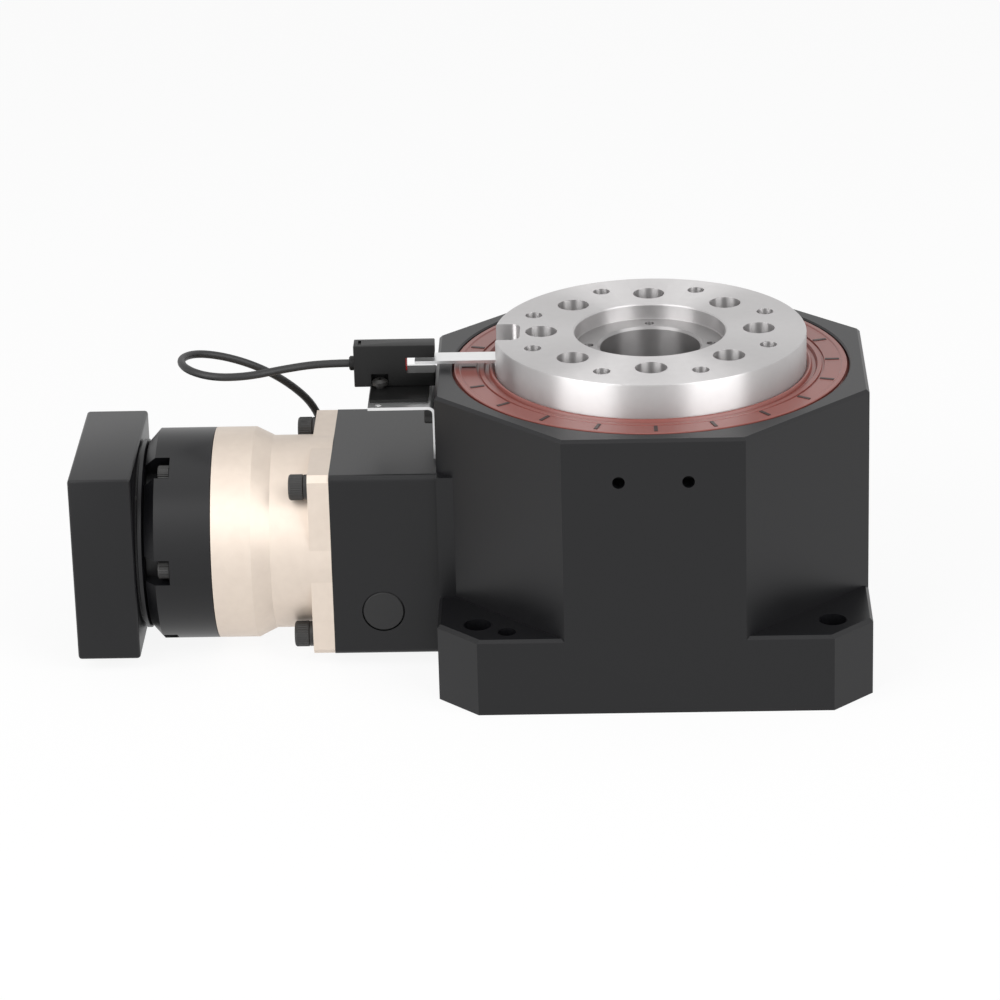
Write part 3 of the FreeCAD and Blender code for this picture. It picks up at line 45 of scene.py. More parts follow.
view_azimuth, view_elevation, view_roll = (math.radians(a) for a in (1.71, 22.12, -1.55))
view_target = mathutils.Vector((-0.05042, 0.0, 0.04603))
view_distance = 1.46618

towards = mathutils.Vector((
    math.sin(view_azimuth) * math.cos(view_elevation),
    -math.cos(view_azimuth) * math.cos(view_elevation),
    math.sin(view_elevation)))
level = mathutils.Vector((math.cos(view_azimuth), math.sin(view_azimuth), 0.0))
upright = towards.cross(level)
across = level * math.cos(view_roll) + upright * math.sin(view_roll)
above = upright * math.cos(view_roll) - level * math.sin(view_roll)
lens = bpy.data.cameras.new("camera")
lens.lens = 159.14
lens.sensor_fit = "HORIZONTAL"
lens.clip_end = 20.0
camera = bpy.data.objects.new("camera", lens)
camera.matrix_world = mathutils.Matrix.Translation(view_target + towards * view_distance) @ mathutils.Matrix(
    (across, above, towards)).transposed().to_4x4()
scene.collection.objects.link(camera)
scene.camera = camera


def linear(code):
    """Linear colour of an sRGB hex value, as the sockets take it."""
    values = [int(code[i:i + 2], 16) / 255 for i in (1, 3, 5)]
    return [v / 12.92 if v <= 0.04045 else ((v + 0.055) / 1.055) ** 2.4 for v in values] + [1.0]


def add(tree, kind, inputs=None, **settings):
    """Adds a node with its settings; an input is given as a value or as the output that feeds it."""
    node = tree.nodes.new(kind)
    for name, value in settings.items():
        setattr(node, name, value)
    for key, value in (inputs or {}).items():
        if isinstance(value, bpy.types.NodeSocket):
            tree.links.new(value, node.inputs[key])
        else:
            node.inputs[key].default_value = value
    return node


def area_light(name, place, aim, size, power):
    data = bpy.data.lights.new(name, "AREA")
    data.shape = "RECTANGLE"
    data.size, data.size_y = size
    data.energy = power
    light = bpy.data.objects.new(name, data)
    light.location = place
    beam = mathutils.Vector(aim) - mathutils.Vector(place)
    light.rotation_euler = beam.to_track_quat("-Z", "Y").to_euler()
    scene.collection.objects.link(light)


def seen_or_mirrored(tree):
    """1 for a ray from the camera or from a gloss or a clear body, which see the white background."""
    rays = add(tree, "ShaderNodeLightPath")
    two = add(tree, "ShaderNodeMath", {
        0: rays.outputs["Is Camera Ray"], 1: rays.outputs["Is Glossy Ray"]}, operation="ADD")
    three = add(tree, "ShaderNodeMath", {
        0: two.outputs[0], 1: rays.outputs["Is Transmission Ray"]}, operation="ADD", use_clamp=True)
    return three.outputs[0]


side_box, side_power, side_aim = (1.0, 1.2), 11.0, (0.0, 0.0, 0.08)
area_light("softbox_above", (-0.1, 0.1, 1.3), (-0.05, 0.0, 0.05), (1.0, 1.0), 2.0)
area_light("softbox_left", (-0.84, -0.76, 0.7), side_aim, side_box, side_power)
area_light("softbox_right", (0.84, -0.76, 0.7), side_aim, side_box, side_power)

world = bpy.data.worlds.new("studio")
world.use_nodes = True
scene.world = world
studio = world.node_tree
studio.nodes.clear()
room_light = 0.32
soft = add(studio, "ShaderNodeBackground", {"Color": linear("#FFFFFF"), "Strength": room_light})
white = add(studio, "ShaderNodeBackground", {"Color": linear("#FFFFFF"), "Strength": 1.0})
seen = add(studio, "ShaderNodeMixShader", {0: seen_or_mirrored(studio), 1: soft.outputs[0], 2: white.outputs[0]})
add(studio, "ShaderNodeOutputWorld", {"Surface": seen.outputs[0]})

floor_reach = 6
floor_white = 0.9
floor_mesh = bpy.data.meshes.new("floor")
floor_mesh.from_pydata([(x * floor_reach, y * floor_reach, 0) for x, y in ((-1, -1), (1, -1), (1, 1), (-1, 1))],
                       [], [(0, 1, 2, 3)])
floor = bpy.data.objects.new("floor", floor_mesh)
scene.collection.objects.link(floor)
pale = bpy.data.materials.new("pale paper floor")
pale.use_nodes = True
pale.node_tree.nodes.clear()
paper = add(pale.node_tree, "ShaderNodeBsdfDiffuse", {"Color": linear("#FDFDFD")})
lit = add(pale.node_tree, "ShaderNodeEmission", {"Color": linear("#FFFFFF"), "Strength": 1.0})
share = add(pale.node_tree, "ShaderNodeMath", {
    0: seen_or_mirrored(pale.node_tree), 1: floor_white}, operation="MULTIPLY")
both = add(pale.node_tree, "ShaderNodeMixShader", {0: share.outputs[0], 1: paper.outputs[0], 2: lit.outputs[0]})
add(pale.node_tree, "ShaderNodeOutputMaterial", {"Surface": both.outputs[0]})
floor_mesh.materials.append(pale)


# Sensor cable: a thin black PVC jacketed lead, 1 m long, that leaves the
# sensor's back, loops beside it and goes down behind the gearbox flange. What
# the photograph doesn't show is wound into a tied coil, with four bare cores.
def surface(name):
    """A new material, its tree, its principled shader and the object's own coordinates for its pattern."""
    material = bpy.data.materials.new(name)
    material.use_nodes = True
    tree = material.node_tree
    tree.nodes.clear()
    shader = add(tree, "ShaderNodeBsdfPrincipled")
    add(tree, "ShaderNodeOutputMaterial", {"Surface": shader.outputs[0]})
    return material, tree, shader, add(tree, "ShaderNodeTexCoord").outputs["Object"]


def grain(tree, shader, where, size_mm, dark, light, roughness, height_mm, detail=3.0,
          stretch=(1.0, 1.0, 1.0)):
    """Fine irregular texture of one real size: it varies colour and roughness a little and lifts the surface."""
    drawn = add(tree, "ShaderNodeMapping", {"Vector": where, "Scale": stretch})
    noise = add(tree, "ShaderNodeTexNoise", {
        "Vector": drawn.outputs[0], "Scale": 1000.0 / size_mm, "Detail": detail})
    colour = add(tree, "ShaderNodeMix", {
        "Factor": noise.outputs["Fac"], 6: linear(dark), 7: linear(light)}, data_type="RGBA")
    rough = add(tree, "ShaderNodeMapRange", {
        "Value": noise.outputs["Fac"], "To Min": roughness[0], "To Max": roughness[1]})
    bump = add(tree, "ShaderNodeBump", {
        "Height": noise.outputs["Fac"], "Strength": 0.6, "Distance": height_mm / 1000.0})
    tree.links.new(colour.outputs[2], shader.inputs["Base Color"])
    tree.links.new(rough.outputs[0], shader.inputs["Roughness"])
    tree.links.new(bump.outputs[0], shader.inputs["Normal"])


def dress(material, *names):
    """Gives CAD nodes their finish."""
    for name in names:
        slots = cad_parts[name].data.materials
        slots.clear()
        slots.append(material)


# Extruded PVC is smooth and dull, with a broad soft shine along the lead.
jacket, tree, shader, where = surface("extruded PVC cable jacket")
grain(tree, shader, where, 0.6, "#151515", "#1E1E1F", (0.42, 0.52), 0.02)

cable_diameter = 2.6
cable_route = [
    (-98.6, 0.0, 95.3), (-108.0, 0.0, 95.3), (-119.5, -3.6, 95.0), (-131.5, -8.8, 94.4),
    (-143.0, -9.6, 94.6), (-152.0, -3.6, 95.2), (-155.2, 6.6, 95.2), (-150.8, 16.2, 93.8),
    (-141.0, 20.6, 90.8), (-130.2, 23.4, 85.8), (-120.6, 28.6, 77.8), (-112.8, 35.0, 67.0),
    (-109.6, 38.4, 53.0), (-109.2, 40.0, 38.0), (-109.6, 41.0, 26.0), (-110.2, 42.6, 16.0),
    (-110.8, 48.2, 9.2), (-110.9, 56.2, 6.5), (-110.9, 64.5, 6.5)]
coil_middle = (-93.3, 64.5)
coil_turns = [(17.6, 6.5), (15.0, 6.5), (12.4, 6.5), (12.4, 3.9), (12.4, 1.3), (15.0, 1.3), (15.0, 3.9),
              (17.6, 3.9), (17.6, 1.3)]
steps = 16
drawn_in = math.cos(math.pi / steps)
for turn, (radius, height) in enumerate(coil_turns):
    last = turn == len(coil_turns) - 1
    following = coil_turns[turn] if last else coil_turns[turn + 1]
    for step in range(1, steps // 2 + 1 if last else steps + 1):
        move = max(0.0, (step - steps + 4) / 4.0)
        r = (radius + (following[0] - radius) * move) / drawn_in
        angle = math.pi - 2.0 * math.pi * step / steps
        cable_route.append((coil_middle[0] + r * math.cos(angle), coil_middle[1] + r * math.sin(angle),
                            height + (following[1] - height) * move))

line = bpy.data.curves.new("sensor_lead", "CURVE")
line.dimensions = "3D"
line.bevel_depth = cable_diameter / 2000.0
line.bevel_resolution = 5
line.resolution_u = 6
line.use_fill_caps = True
spline = line.splines.new("NURBS")
spline.points.add(len(cable_route) - 1)
for point, (x, y, z) in zip(spline.points, cable_route):
    point.co = (x / 1000.0, y / 1000.0, z / 1000.0, 1.0)
spline.order_u = 3
spline.use_endpoint_u = True
line.materials.append(jacket)
lead = bpy.data.objects.new("sensor_lead", line)
scene.collection.objects.link(lead)
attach(lead, "root")
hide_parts("sensor_cable", "sensor_cable_coil")

# The tie is a strap of the same PVC round all of the coil's turns.
tie_inner, tie_outer, tie_top = 10.6, 19.4, 8.4
tie_half_width = 1.6
tie_wall = 0.5
tie_mesh = bmesh.new()
tie_rings = []
for wall in (0.0, tie_wall):
    for side in (-tie_half_width, tie_half_width):
        tie_rings.append([tie_mesh.verts.new((
            (coil_middle[0] + side) / 1000.0, (coil_middle[1] + r) / 1000.0, z / 1000.0)) for r, z in (
                (tie_inner + wall, wall), (tie_outer - wall, wall),
                (tie_outer - wall, tie_top - wall), (tie_inner + wall, tie_top - wall))])
for one, other in ((0, 1), (1, 3), (3, 2), (2, 0)):
    for i in range(4):
        after = (i + 1) % 4
        tie_mesh.faces.new((
            tie_rings[one][i], tie_rings[one][after], tie_rings[other][after], tie_rings[other][i]))
bmesh.ops.recalc_face_normals(tie_mesh, faces=tie_mesh.faces)
bmesh.ops.bevel(tie_mesh, geom=tie_mesh.edges[:], offset=0.0001, segments=2, profile=0.5, affect="EDGES")
tie_data = bpy.data.meshes.new("coil_tie")
tie_mesh.to_mesh(tie_data)
tie_mesh.free()
tie_data.materials.append(jacket)
tie = bpy.data.objects.new("coil_tie", tie_data)
scene.collection.objects.link(tie)
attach(tie, "root")

# The cores' insulation is the same extrusion, a little glossier.
cores, tree, shader, where = surface("extruded core insulation")
grain(tree, shader, where, 0.5, "#6B3F22", "#7D4B2A", (0.4, 0.5), 0.01)
dress(cores, "cable_cores")


# Housings: aluminium, machined all over and black anodised. The anodised
# skin is a satin black that turns grey on faces seen at a low angle.
anodised, tree, shader, where = surface("black anodised machined aluminium")
grain(tree, shader, where, 0.35, "#08080A", "#0D0D10", (0.33, 0.41), 0.008, 4.0)
shader.inputs["IOR"].default_value = 1.42
dress(anodised, "housing", "coupling_housing", "bottom_cover")


# Input housing and motor plate: the black barrel with six pockets for its
# screws, and the square plate with a bored face that the motor bolts to.
def millimetres(made, name, place=mathutils.Matrix.Identity(4)):
    """A mesh of a bmesh drawn in millimetres, its faces outward, laid in its place."""
    bmesh.ops.recalc_face_normals(made, faces=made.faces)
    made.transform(mathutils.Matrix.Scale(0.001, 4) @ place)
    data = bpy.data.meshes.new(name)
    made.to_mesh(data)
    made.free()
    return data


def lathe(profile, sides=144, centre=(0.0, 0.0)):
    """A closed outline of (radius, height) turned about an upright axis."""
    made = bmesh.new()
    rows = []
    for radius, height in profile:
        if radius == 0.0:
            rows.append([made.verts.new((centre[0], centre[1], height))])
        else:
            rows.append([made.verts.new((
                centre[0] + radius * math.cos(2.0 * math.pi * side / sides),
                centre[1] + radius * math.sin(2.0 * math.pi * side / sides), height)) for side in range(sides)])
    for low, high in zip(rows, rows[1:] + rows[:1]):
        for side in range(sides):
            after = (side + 1) % sides
            if len(low) > 1 and len(high) > 1:
                made.faces.new((low[side], low[after], high[after], high[side]))
            elif len(high) > 1:
                made.faces.new((low[0], high[after], high[side]))
            elif len(low) > 1:
                made.faces.new((low[side], low[after], high[0]))
    return made


def block(low, high, edge=0.0, turn=0.0):
    """A block between two corners, its edges rounded, turned about the upright axis."""
    made = bmesh.new()
    bmesh.ops.create_cube(made, size=1.0)
    for vert in made.verts:
        vert.co = [l + (h - l) * (v + 0.5) for l, h, v in zip(low, high, vert.co)]
    if edge:
        bmesh.ops.bevel(made, geom=made.edges[:], offset=edge, segments=3, profile=0.5, affect="EDGES")
    made.transform(mathutils.Matrix.Rotation(math.radians(turn), 4, "Z"))
    return made


def worked(name, body, material, stock, joined=(), cut=(), place=mathutils.Matrix.Identity(4),
           replaced=()):
    """A rigid piece: stock with pieces joined to it and cut from it, dressed and set on its body."""
    piece = bpy.data.objects.new(name, millimetres(stock, name, place))
    scene.collection.objects.link(piece)
    tools = []
    for operation, shapes in (("UNION", joined), ("DIFFERENCE", cut)):
        for shape in shapes:
            tool = bpy.data.objects.new("tool", millimetres(shape, "tool", place))
            scene.collection.objects.link(tool)
            modifier = piece.modifiers.new(operation.lower(), "BOOLEAN")
            modifier.operation, modifier.solver, modifier.object = operation, "EXACT", tool
            tools.append(tool)
    mesh = bpy.data.meshes.new_from_object(piece.evaluated_get(bpy.context.evaluated_depsgraph_get()))
    for spent in tools + [piece]:
        bpy.data.objects.remove(spent)
    mesh.materials.clear()
    mesh.materials.append(material)
    mesh.shade_smooth()
    mesh.set_sharp_from_angle(angle=math.radians(28))
    piece = bpy.data.objects.new(name, mesh)
    scene.collection.objects.link(piece)
    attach(piece, body)
    if replaced:
        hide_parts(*replaced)
    return piece


def circle(radius, count, start=0.0):
    """Points evenly round a circle, from a start in degrees."""
    return [(radius * math.cos(math.radians(start) + 2.0 * math.pi * i / count),
             radius * math.sin(math.radians(start) + 2.0 * math.pi * i / count)) for i in range(count)]


# Heights along the drive line are distances from the turntable's axis.
drive_height = 36.2
drive_line = mathutils.Matrix(((0, 0, -1, 0), (0, 1, 0, 0), (1, 0, 0, drive_height), (0, 0, 0, 1)))
barrel_radius, barrel_near, barrel_far = 35.0, 144.0, 166.2
cone_start, cone_radius = 162.6, 31.0
bearing_seat, bearing_step = 21.95, 148.0
collar_bore, shaft_bore = 16.02, 13.5
pocket_floor, pocket_half = 157.8, 4.3
input_circle = 30.6

pockets = [block((input_circle - pocket_half, -pocket_half, pocket_floor),
                 (barrel_radius + 3.0, pocket_half, 171.0), turn=-90.0 + 60.0 * i) for i in range(6)]
input_barrel = worked("input_barrel", "root", anodised, lathe([
    (bearing_seat, barrel_near), (barrel_radius - 0.3, barrel_near), (barrel_radius, barrel_near + 0.3),
    (barrel_radius, cone_start), (cone_radius, barrel_far), (collar_bore, barrel_far),
    (collar_bore, bearing_step), (shaft_bore, bearing_step), (shaft_bore, 145.0), (bearing_seat, 145.0)]),
    cut=pockets, place=drive_line, replaced=["input_housing"])

plate_half, plate_near, plate_far = 31.8, 169.2, 189.8
past = plate_far + 1.0
collar_room, pilot_radius, pilot_floor = 20.0, 25.0, 185.8
motor_tap, motor_tap_offset = 2.5, 24.75
plate_screw_hole, plate_screw_circle = 2.95, 28.4
plate_boss = lathe([(shaft_bore, 166.3), (30.0, 166.3), (31.4, 167.0), (31.4, 168.2), (29.6, 168.6),
                    (29.6, 171.0), (shaft_bore, 171.0)])
plate_bore = lathe([(0.0, 160.0), (collar_room, 160.0), (collar_room, pilot_floor), (pilot_radius, pilot_floor),
                    (pilot_radius, plate_far - 0.6), (pilot_radius + 0.6, plate_far),
                    (pilot_radius + 1.6, past), (0.0, past)])
motor_taps = [lathe([(0.0, 177.8), (motor_tap, 177.8), (motor_tap, plate_far - 0.4), (motor_tap + 0.4, plate_far),
                     (motor_tap + 1.4, past), (0.0, past)], 24, (x, y))
              for x in (-motor_tap_offset, motor_tap_offset) for y in (-motor_tap_offset, motor_tap_offset)]
plate_screw_holes = [lathe([(0.0, 179.8), (plate_screw_hole, 179.8), (plate_screw_hole, past), (0.0, past)],
                           24, spot) for spot in circle(plate_screw_circle, 4, 45.0)]
motor_plate = worked(
    "motor_plate_block", "root", anodised,
    block((-plate_half, -plate_half, plate_near), (plate_half, plate_half, plate_far), edge=1.1),
    joined=[plate_boss], cut=[plate_bore] + motor_taps + plate_screw_holes, place=drive_line,
    replaced=["motor_plate"])


# Turntable seal: a large moulded fluoro rubber ring, red-brown and a little
# glossy, pressed in level with the housing's top. It has a groove and two
# lips, and twenty ribs stand on its face, their dark colour painted shade.
rubber, tree, shader, where = surface("moulded fluoro rubber")
grain(tree, shader, where, 0.8, "#7E4038", "#8A483F", (0.26, 0.36), 0.008)
shader.inputs["IOR"].default_value = 1.62
dress(rubber, "lower_shaft_seal", "output_seal")

seal_face = 93.6
seal_radius, seal_bottom = 65.0, 85.5
seal = worked("turntable_seal_ring", "root", rubber, lathe([
    (seal_radius, seal_bottom), (seal_radius, 92.2), (64.2, 92.8), (64.2, 93.7), (63.9, 93.9), (62.6, 93.9),
    (62.2, seal_face), (56.9, seal_face), (56.7, 93.1), (56.2, 93.1), (56.0, seal_face), (54.6, seal_face),
    (54.0, 92.7), (52.9, 92.7), (52.4, 93.8), (52.0, 94.0), (51.15, 93.3), (51.15, 92.0), (52.6, 90.8),
    (63.0, 90.8), (63.0, seal_bottom)], 240), replaced=["table_seal"])

# The ribs' dark colour is painted shade, standing in for the shade in slots on the face; their rubber is drier
# than the ring's.
painted_shade_rubber, tree, shader, where = surface("rubber painted dark as slot shade")
grain(tree, shader, where, 0.8, "#24120F", "#2E1815", (0.4, 0.5), 0.01)

set_out = bpy.data.node_groups.new("Pieces on their points", "GeometryNodeTree")
set_out.interface.new_socket("Points", in_out="INPUT", socket_type="NodeSocketGeometry")
set_out.interface.new_socket("Piece", in_out="INPUT", socket_type="NodeSocketObject")
set_out.interface.new_socket("Size", in_out="INPUT", socket_type="NodeSocketFloat")
set_out.interface.new_socket("Finish", in_out="INPUT", socket_type="NodeSocketMaterial")
set_out.interface.new_socket("Pieces", in_out="OUTPUT", socket_type="NodeSocketGeometry")
given = add(set_out, "NodeGroupInput")
one = add(set_out, "GeometryNodeObjectInfo", {"Object": given.outputs["Piece"]})
heading = add(set_out, "GeometryNodeInputNamedAttribute", {"Name": "turn"}, data_type="FLOAT_VECTOR")
facing = add(set_out, "FunctionNodeEulerToRotation", {"Euler": heading.outputs["Attribute"]})
copies = add(set_out, "GeometryNodeInstanceOnPoints", {
    "Points": given.outputs["Points"], "Instance": one.outputs["Geometry"], "Rotation": facing.outputs[0],
    "Scale": given.outputs["Size"]})
real = add(set_out, "GeometryNodeRealizeInstances", {"Geometry": copies.outputs[0]})
finished = add(set_out, "GeometryNodeSetMaterial", {
    "Geometry": real.outputs[0], "Material": given.outputs["Finish"]})
add(set_out, "NodeGroupOutput", {"Pieces": finished.outputs[0]})


def repeated(name, body, mesh, places, turns, finish, replaced=()):
    """Sets one piece out on its places, each with its own turn, as one mesh on one body."""
    template = bpy.data.objects.new(name + "_one", mesh)
    scene.collection.objects.link(template)
    dots = bpy.data.meshes.new(name + "_places")
    dots.from_pydata([[v / 1000.0 for v in p] for p in places], [], [])
    for item, turn in zip(dots.attributes.new("turn", "FLOAT_VECTOR", "POINT").data, turns):
        item.vector = turn
    holder = bpy.data.objects.new(name + "_places", dots)
    scene.collection.objects.link(holder)
    modifier = holder.modifiers.new("set out", "NODES")
    modifier.node_group = set_out
    values = {"Piece": template, "Size": 1.0, "Finish": finish}
    for socket in set_out.interface.items_tree:
        if socket.name in values:
            modifier[socket.identifier] = values[socket.name]
    holder.update_tag()
    made = bpy.data.meshes.new_from_object(holder.evaluated_get(bpy.context.evaluated_depsgraph_get()))
    holder.modifiers.remove(modifier)
    bpy.data.objects.remove(holder)
    bpy.data.objects.remove(template)
    piece = bpy.data.objects.new(name, made)
    scene.collection.objects.link(piece)
    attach(piece, body)
    if replaced:
        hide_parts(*replaced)


rib_count = 20
first_rib = 1.0
rib_circle = 59.45
rib_half_length, rib_half_width, rib_sunk, rib_proud = 2.3, 0.6, 0.3, 0.22
rib = millimetres(block((-rib_half_length, -rib_half_width, -rib_sunk),
                        (rib_half_length, rib_half_width, rib_proud), edge=0.12), "rib")
# The ribs carry the painted slot shade of their dark rubber.
repeated("turntable_seal_ribs", "root", rib,
         [(x, y, seal_face) for x, y in circle(rib_circle, rib_count, first_rib)],
         [(0.0, 0.0, math.radians(first_rib) + 2.0 * math.pi * i / rib_count) for i in range(rib_count)],
         painted_shade_rubber)


# Turntable and hollow shaft: turned steel, the disc with a bright plating. The
# tool's fine rings smear each reflection across them, which gives the eye a
# bright upright band under each lamp with greyer metal between.
def turned(name, dark, light, roughness, axis="Z", metallic=1.0, anisotropy=0.9):
    """A turned metal whose marks run round one axis, with faint 3 mm clouds in its colour."""
    material, tree, shader, where = surface(name)
    noise = add(tree, "ShaderNodeTexNoise", {"Vector": where, "Scale": 1000.0 / 3.0, "Detail": 2.0})
    colour = add(tree, "ShaderNodeMix", {
        "Factor": noise.outputs["Fac"], 6: linear(dark), 7: linear(light)}, data_type="RGBA")
    rough = add(tree, "ShaderNodeMapRange", {
        "Value": noise.outputs["Fac"], "To Min": roughness[0], "To Max": roughness[1]})
    tangent = add(tree, "ShaderNodeTangent", direction_type="RADIAL", axis=axis)
    tree.links.new(colour.outputs[2], shader.inputs["Base Color"])
    tree.links.new(rough.outputs[0], shader.inputs["Roughness"])
    tree.links.new(tangent.outputs[0], shader.inputs["Tangent"])
    shader.inputs["Metallic"].default_value = metallic
    shader.inputs["Anisotropic"].default_value = anisotropy
    shader.inputs["Anisotropic Rotation"].default_value = 0.25
    return material


plated = turned("turned steel with bright plating", "#BEBCBC", "#C6C4C4", (0.38, 0.42))
dress(turned("turned and ground steel", "#989696", "#A2A0A0", (0.38, 0.42)), "hollow_shaft")

table_top = 105.2
above_top = table_top + 1.0
table_radius, table_bottom = 51.0, 85.5
head_seat, head_room, screw_hole = 95.0, 5.2, 2.7
fixture_tap, fixture_depth = 2.8, 12.0
bolt_circle, fixture_circle = 35.5, 41.2
counterbores = [lathe([(0.0, 80.0), (screw_hole, 80.0), (screw_hole, head_seat), (head_room, head_seat),
                       (head_room, above_top), (0.0, above_top)], 48, spot) for spot in circle(bolt_circle, 8)]
tapped = [lathe([(0.0, table_top - fixture_depth), (fixture_tap, table_top - fixture_depth),
                 (fixture_tap, above_top), (0.0, above_top)], 32, spot)
          for spot in circle(fixture_circle, 8, 22.5)]
notch_floor, notch_over = 96.0, 107.0
notch_outside, notch_inside, notch_half, corner = -53.0, -45.5, 7.5, 3.0
dog_screw_at = -46.325
corner_cutter = [(0.0, notch_floor), (corner, notch_floor), (corner, notch_over), (0.0, notch_over)]
notch = [block((notch_outside, -notch_half, notch_floor), (notch_inside, notch_half, notch_over)),
         block((notch_outside, corner - notch_half, notch_floor),
               (notch_inside + corner, notch_half - corner, notch_over)),
         lathe(corner_cutter, 48, (notch_inside, notch_half - corner)),
         lathe(corner_cutter, 48, (notch_inside, corner - notch_half)),
         lathe([(0.0, 90.0), (1.52, 90.0), (1.52, 97.0), (0.0, 97.0)], 32, (dog_screw_at, 0.0))]
disc = worked("turntable_disc", "table", plated, lathe([
    (20.02, 76.5), (27.48, 76.5), (27.48, 83.0), (43.7, 83.0), (43.7, table_bottom),
    (table_radius, table_bottom), (table_radius, 104.6), (50.8, 105.0), (50.4, table_top), (25.1, table_top),
    (24.7, 104.8), (24.7, 100.2), (24.2, 100.2), (24.2, 95.2), (20.02, 95.2)], 240),
    cut=counterbores + tapped + notch, replaced=["turntable"])

# Ground shafts and pins are a darker, smoother steel.
ground, tree, shader, where = surface("ground steel")
grain(tree, shader, where, 0.8, "#A5A3A3", "#B8B6B6", (0.22, 0.32), 0.004)
shader.inputs["Metallic"].default_value = 1.0
dress(ground, "pinion_shaft", "planet_carrier", "sun_shaft", "planet_pins")


# Gearbox: a turned barrel, neck and square flange in champagne anodised
# aluminium. The dyed skin over the metal gives a warm pale satin.
champagne = turned("turned champagne anodised aluminium", "#D6C8BB", "#DFD2C5", (0.46, 0.52), "X", 0.5, 0.4)
dress(champagne, "gearbox_housing")


# Bearings and gears: hardened steel, hidden inside the housings. The bearings
# are ground bright, and the gears are left grey by their hardening.
bearing, tree, shader, where = surface("ground bearing steel")
grain(tree, shader, where, 0.6, "#C2C2C6", "#CECED2", (0.12, 0.2), 0.002)
shader.inputs["Metallic"].default_value = 1.0
dress(bearing, "main_bearing_outer_ring", "main_bearing_inner_ring", "main_bearing_rollers",
      "pinion_bearing_outer_rings", "pinion_bearing_inner_rings", "drive_bearing_balls",
      "gearbox_bearing_outer_rings", "output_bearing_inner_ring", "input_bearing_inner_ring",
      "input_bearing_balls")

toothed, tree, shader, where = surface("hardened gear steel")
grain(tree, shader, where, 0.7, "#7C7B7A", "#908E8C", (0.3, 0.42), 0.006)
shader.inputs["Metallic"].default_value = 1.0
dress(toothed, "ring_gear", "planet_gear_1", "planet_gear_2", "planet_gear_3")


# Socket head screws: steel, cold headed, knurled round the head and finished
# in black oxide, a dark satin with a cold shine. Each kind is one screw, set
# out on its own points.
oxide, tree, shader, where = surface("black oxide steel")
grain(tree, shader, where, 0.4, "#1B1A1A", "#2A2928", (0.3, 0.42), 0.01)
dress(oxide, "flange_spring_washers", "bottom_cover_screws", "main_bearing_screws",
      "coupling_housing_screws", "motor_plate_screws", "clamp_screw", "input_collar_screw", "clamp_collar",
      "input_collar", "pinion_lock_nut")

knurl_sides = 72
knurl_depth = 0.12


def cap_screw(name, thread, length):
    """One socket head cap screw in metres, its seat at z=0 and its head up."""
    head, flat = (1.5 * thread + 1.0) / 2.0, 0.4 * thread
    soft = 0.08 * thread
    profile = [
        ("round", 0.0, -length), ("round", thread / 2.0 - soft, -length),
        ("round", thread / 2.0, soft - length),
        ("round", thread / 2.0, 0.0), ("round", head - soft, 0.0), ("knurled", head, soft),
        ("knurled", head, thread - 1.6 * soft), ("round", head - 0.9 * soft, thread - 0.4 * soft),
        ("round", head - 2.0 * soft, thread), ("hexagon", flat + 0.5 * soft, thread),
        ("hexagon", flat, thread - 0.5 * soft), ("hexagon", flat, thread * 0.5),
        ("round", 0.0, thread * 0.42)]
    mesh = bmesh.new()
    rows = []
    for shape, radius, z in profile:
        if radius == 0.0:
            rows.append([mesh.verts.new((0.0, 0.0, z / 1000.0))])
            continue
        row = []
        for side in range(knurl_sides):
            angle = 2.0 * math.pi * side / knurl_sides
            r = radius
            if shape == "knurled" and side % 2:
                r -= knurl_depth
            if shape == "hexagon":
                r /= math.cos((angle + math.pi / 6.0) % (math.pi / 3.0) - math.pi / 6.0)
            row.append(mesh.verts.new((
                r * math.cos(angle) / 1000.0, r * math.sin(angle) / 1000.0, z / 1000.0)))
        rows.append(row)
    for low, high in zip(rows, rows[1:]):
        for side in range(knurl_sides):
            after = (side + 1) % knurl_sides
            if len(low) == 1:
                mesh.faces.new((low[0], high[after], high[side]))
            elif len(high) == 1:
                mesh.faces.new((low[side], low[after], high[0]))
            else:
                mesh.faces.new((low[side], low[after], high[after], high[side]))
    data = bpy.data.meshes.new(name)
    mesh.to_mesh(data)
    mesh.free()
    return data


def screws(node, body, thread, length, places, axis, finish):
    """Sets one kind of screw out on its places, in place of its CAD node."""
    turn = mathutils.Vector(axis).to_track_quat("Z", "Y").to_euler()
    repeated(node + "_knurled", body, cap_screw(node, thread, length), places, [turn] * len(places), finish,
             [node])


flange_seat, flange_offset = -113.3, 26.0
screws("flange_screws", "root", 5.0, 20.0,
       [(flange_seat, y, drive_height + z) for y in (-flange_offset, flange_offset)
        for z in (-flange_offset, flange_offset)], (-1, 0, 0), oxide)
screws("input_housing_screws", "root", 4.0, 20.0,
       [(-pocket_floor, y, drive_height + z) for z, y in circle(input_circle, 6, -90.0)], (-1, 0, 0), oxide)
screws("table_screws", "table", 5.0, 30.0, [(x, y, head_seat) for x, y in circle(bolt_circle, 8)],
       (0, 0, 1), oxide)
screws("bracket_screws", "root", 3.0, 8.0, [(-71.0, y, 81.3) for y in (-12.0, 12.0)], (-1, 0, 0), oxide)
screws("dog_screw", "table", 3.0, 5.0, [(dog_screw_at, 0.0, 97.0)], (0, 0, 1), oxide)


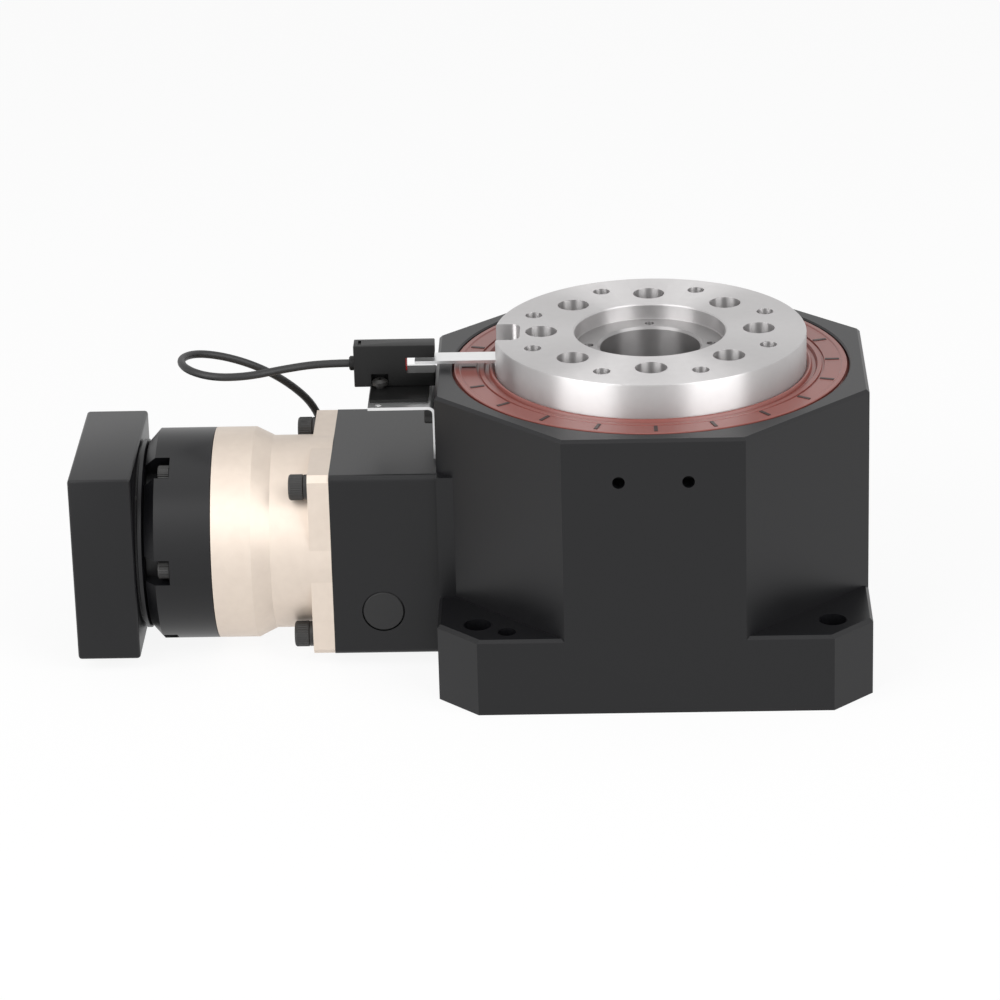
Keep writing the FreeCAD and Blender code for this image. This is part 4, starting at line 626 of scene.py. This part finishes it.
# Sensor: a slot type photo sensor in moulded black plastic, dull and very
# dark, on a thin plastic plate. A folded bracket carries it, and a dog on the
# turntable passes through its slot. Both are zinc plated sheet, a bright grey.
moulded, tree, shader, where = surface("moulded black PBT")
grain(tree, shader, where, 0.5, "#090909", "#111111", (0.36, 0.46), 0.012)
shader.inputs["IOR"].default_value = 1.36
dress(moulded, "sensor_mount", "cable_gland")

sensor_low, sensor_high = 88.1, 102.3
sensor_left, sensor_right, sensor_half = -97.0, -70.5, 3.5
slot_low, slot_high, slot_end = 92.8, 98.1, -80.0
window_middle, window_half_length, window_half_width = -95.0, 2.0, 0.5
screw_at, screw_side, screw_room = -88.6, 3.4, 2.85
sensor = worked(
    "slot_sensor", "root", moulded,
    block((sensor_left, -sensor_half, sensor_low), (sensor_right, sensor_half, sensor_high), edge=0.35),
    cut=[block((slot_end, -5.0, slot_low), (-69.0, 5.0, slot_high)),
         block((window_middle - window_half_width, -window_half_length, sensor_high - 0.6),
               (window_middle + window_half_width, window_half_length, sensor_high + 1.0))]
    + [lathe([(0.0, 89.1), (screw_room, 89.1), (screw_room, 92.6), (0.0, 92.6)], 48, (screw_at, side))
       for side in (-screw_side, screw_side)],
    replaced=["sensor_body"])

# The lens at the slot's end is red and smooth, with a faint painted glow in its material.
lens_red, tree, shader, where = surface("tinted polycarbonate lens with painted glow")
grain(tree, shader, where, 0.6, "#8E1512", "#A01B16", (0.1, 0.16), 0.002)
# Painted glow: the lens is no lamp, yet its material emits a little red light.
shader.inputs["Emission Color"].default_value = linear("#C01A12")
shader.inputs["Emission Strength"].default_value = 0.1
lens_window = worked("sensor_lens", "root", lens_red, block(
    (slot_end - 0.3, -2.4, slot_low + 0.5), (slot_end + 0.4, 2.4, slot_high - 0.5), edge=0.2))

zinc, tree, shader, where = surface("zinc plated rolled steel")
grain(tree, shader, where, 0.5, "#DCDCDC", "#E8E8E8", (0.28, 0.38), 0.005, 3.0, (0.15, 1.0, 1.0))
shader.inputs["Metallic"].default_value = 1.0
dress(zinc, "sensor_bracket", "sensor_dog", "sensor_nuts")
dress(oxide, "sensor_screws")


# Plugs: moulded black polyethylene caps pressed into the access holes. The
# soft plastic is duller than the anodised skin round it.
cap, tree, shader, where = surface("moulded polyethylene")
grain(tree, shader, where, 0.9, "#0C0C0D", "#131314", (0.48, 0.58), 0.015)
dress(cap, "access_plug", "motor_plate_plug")
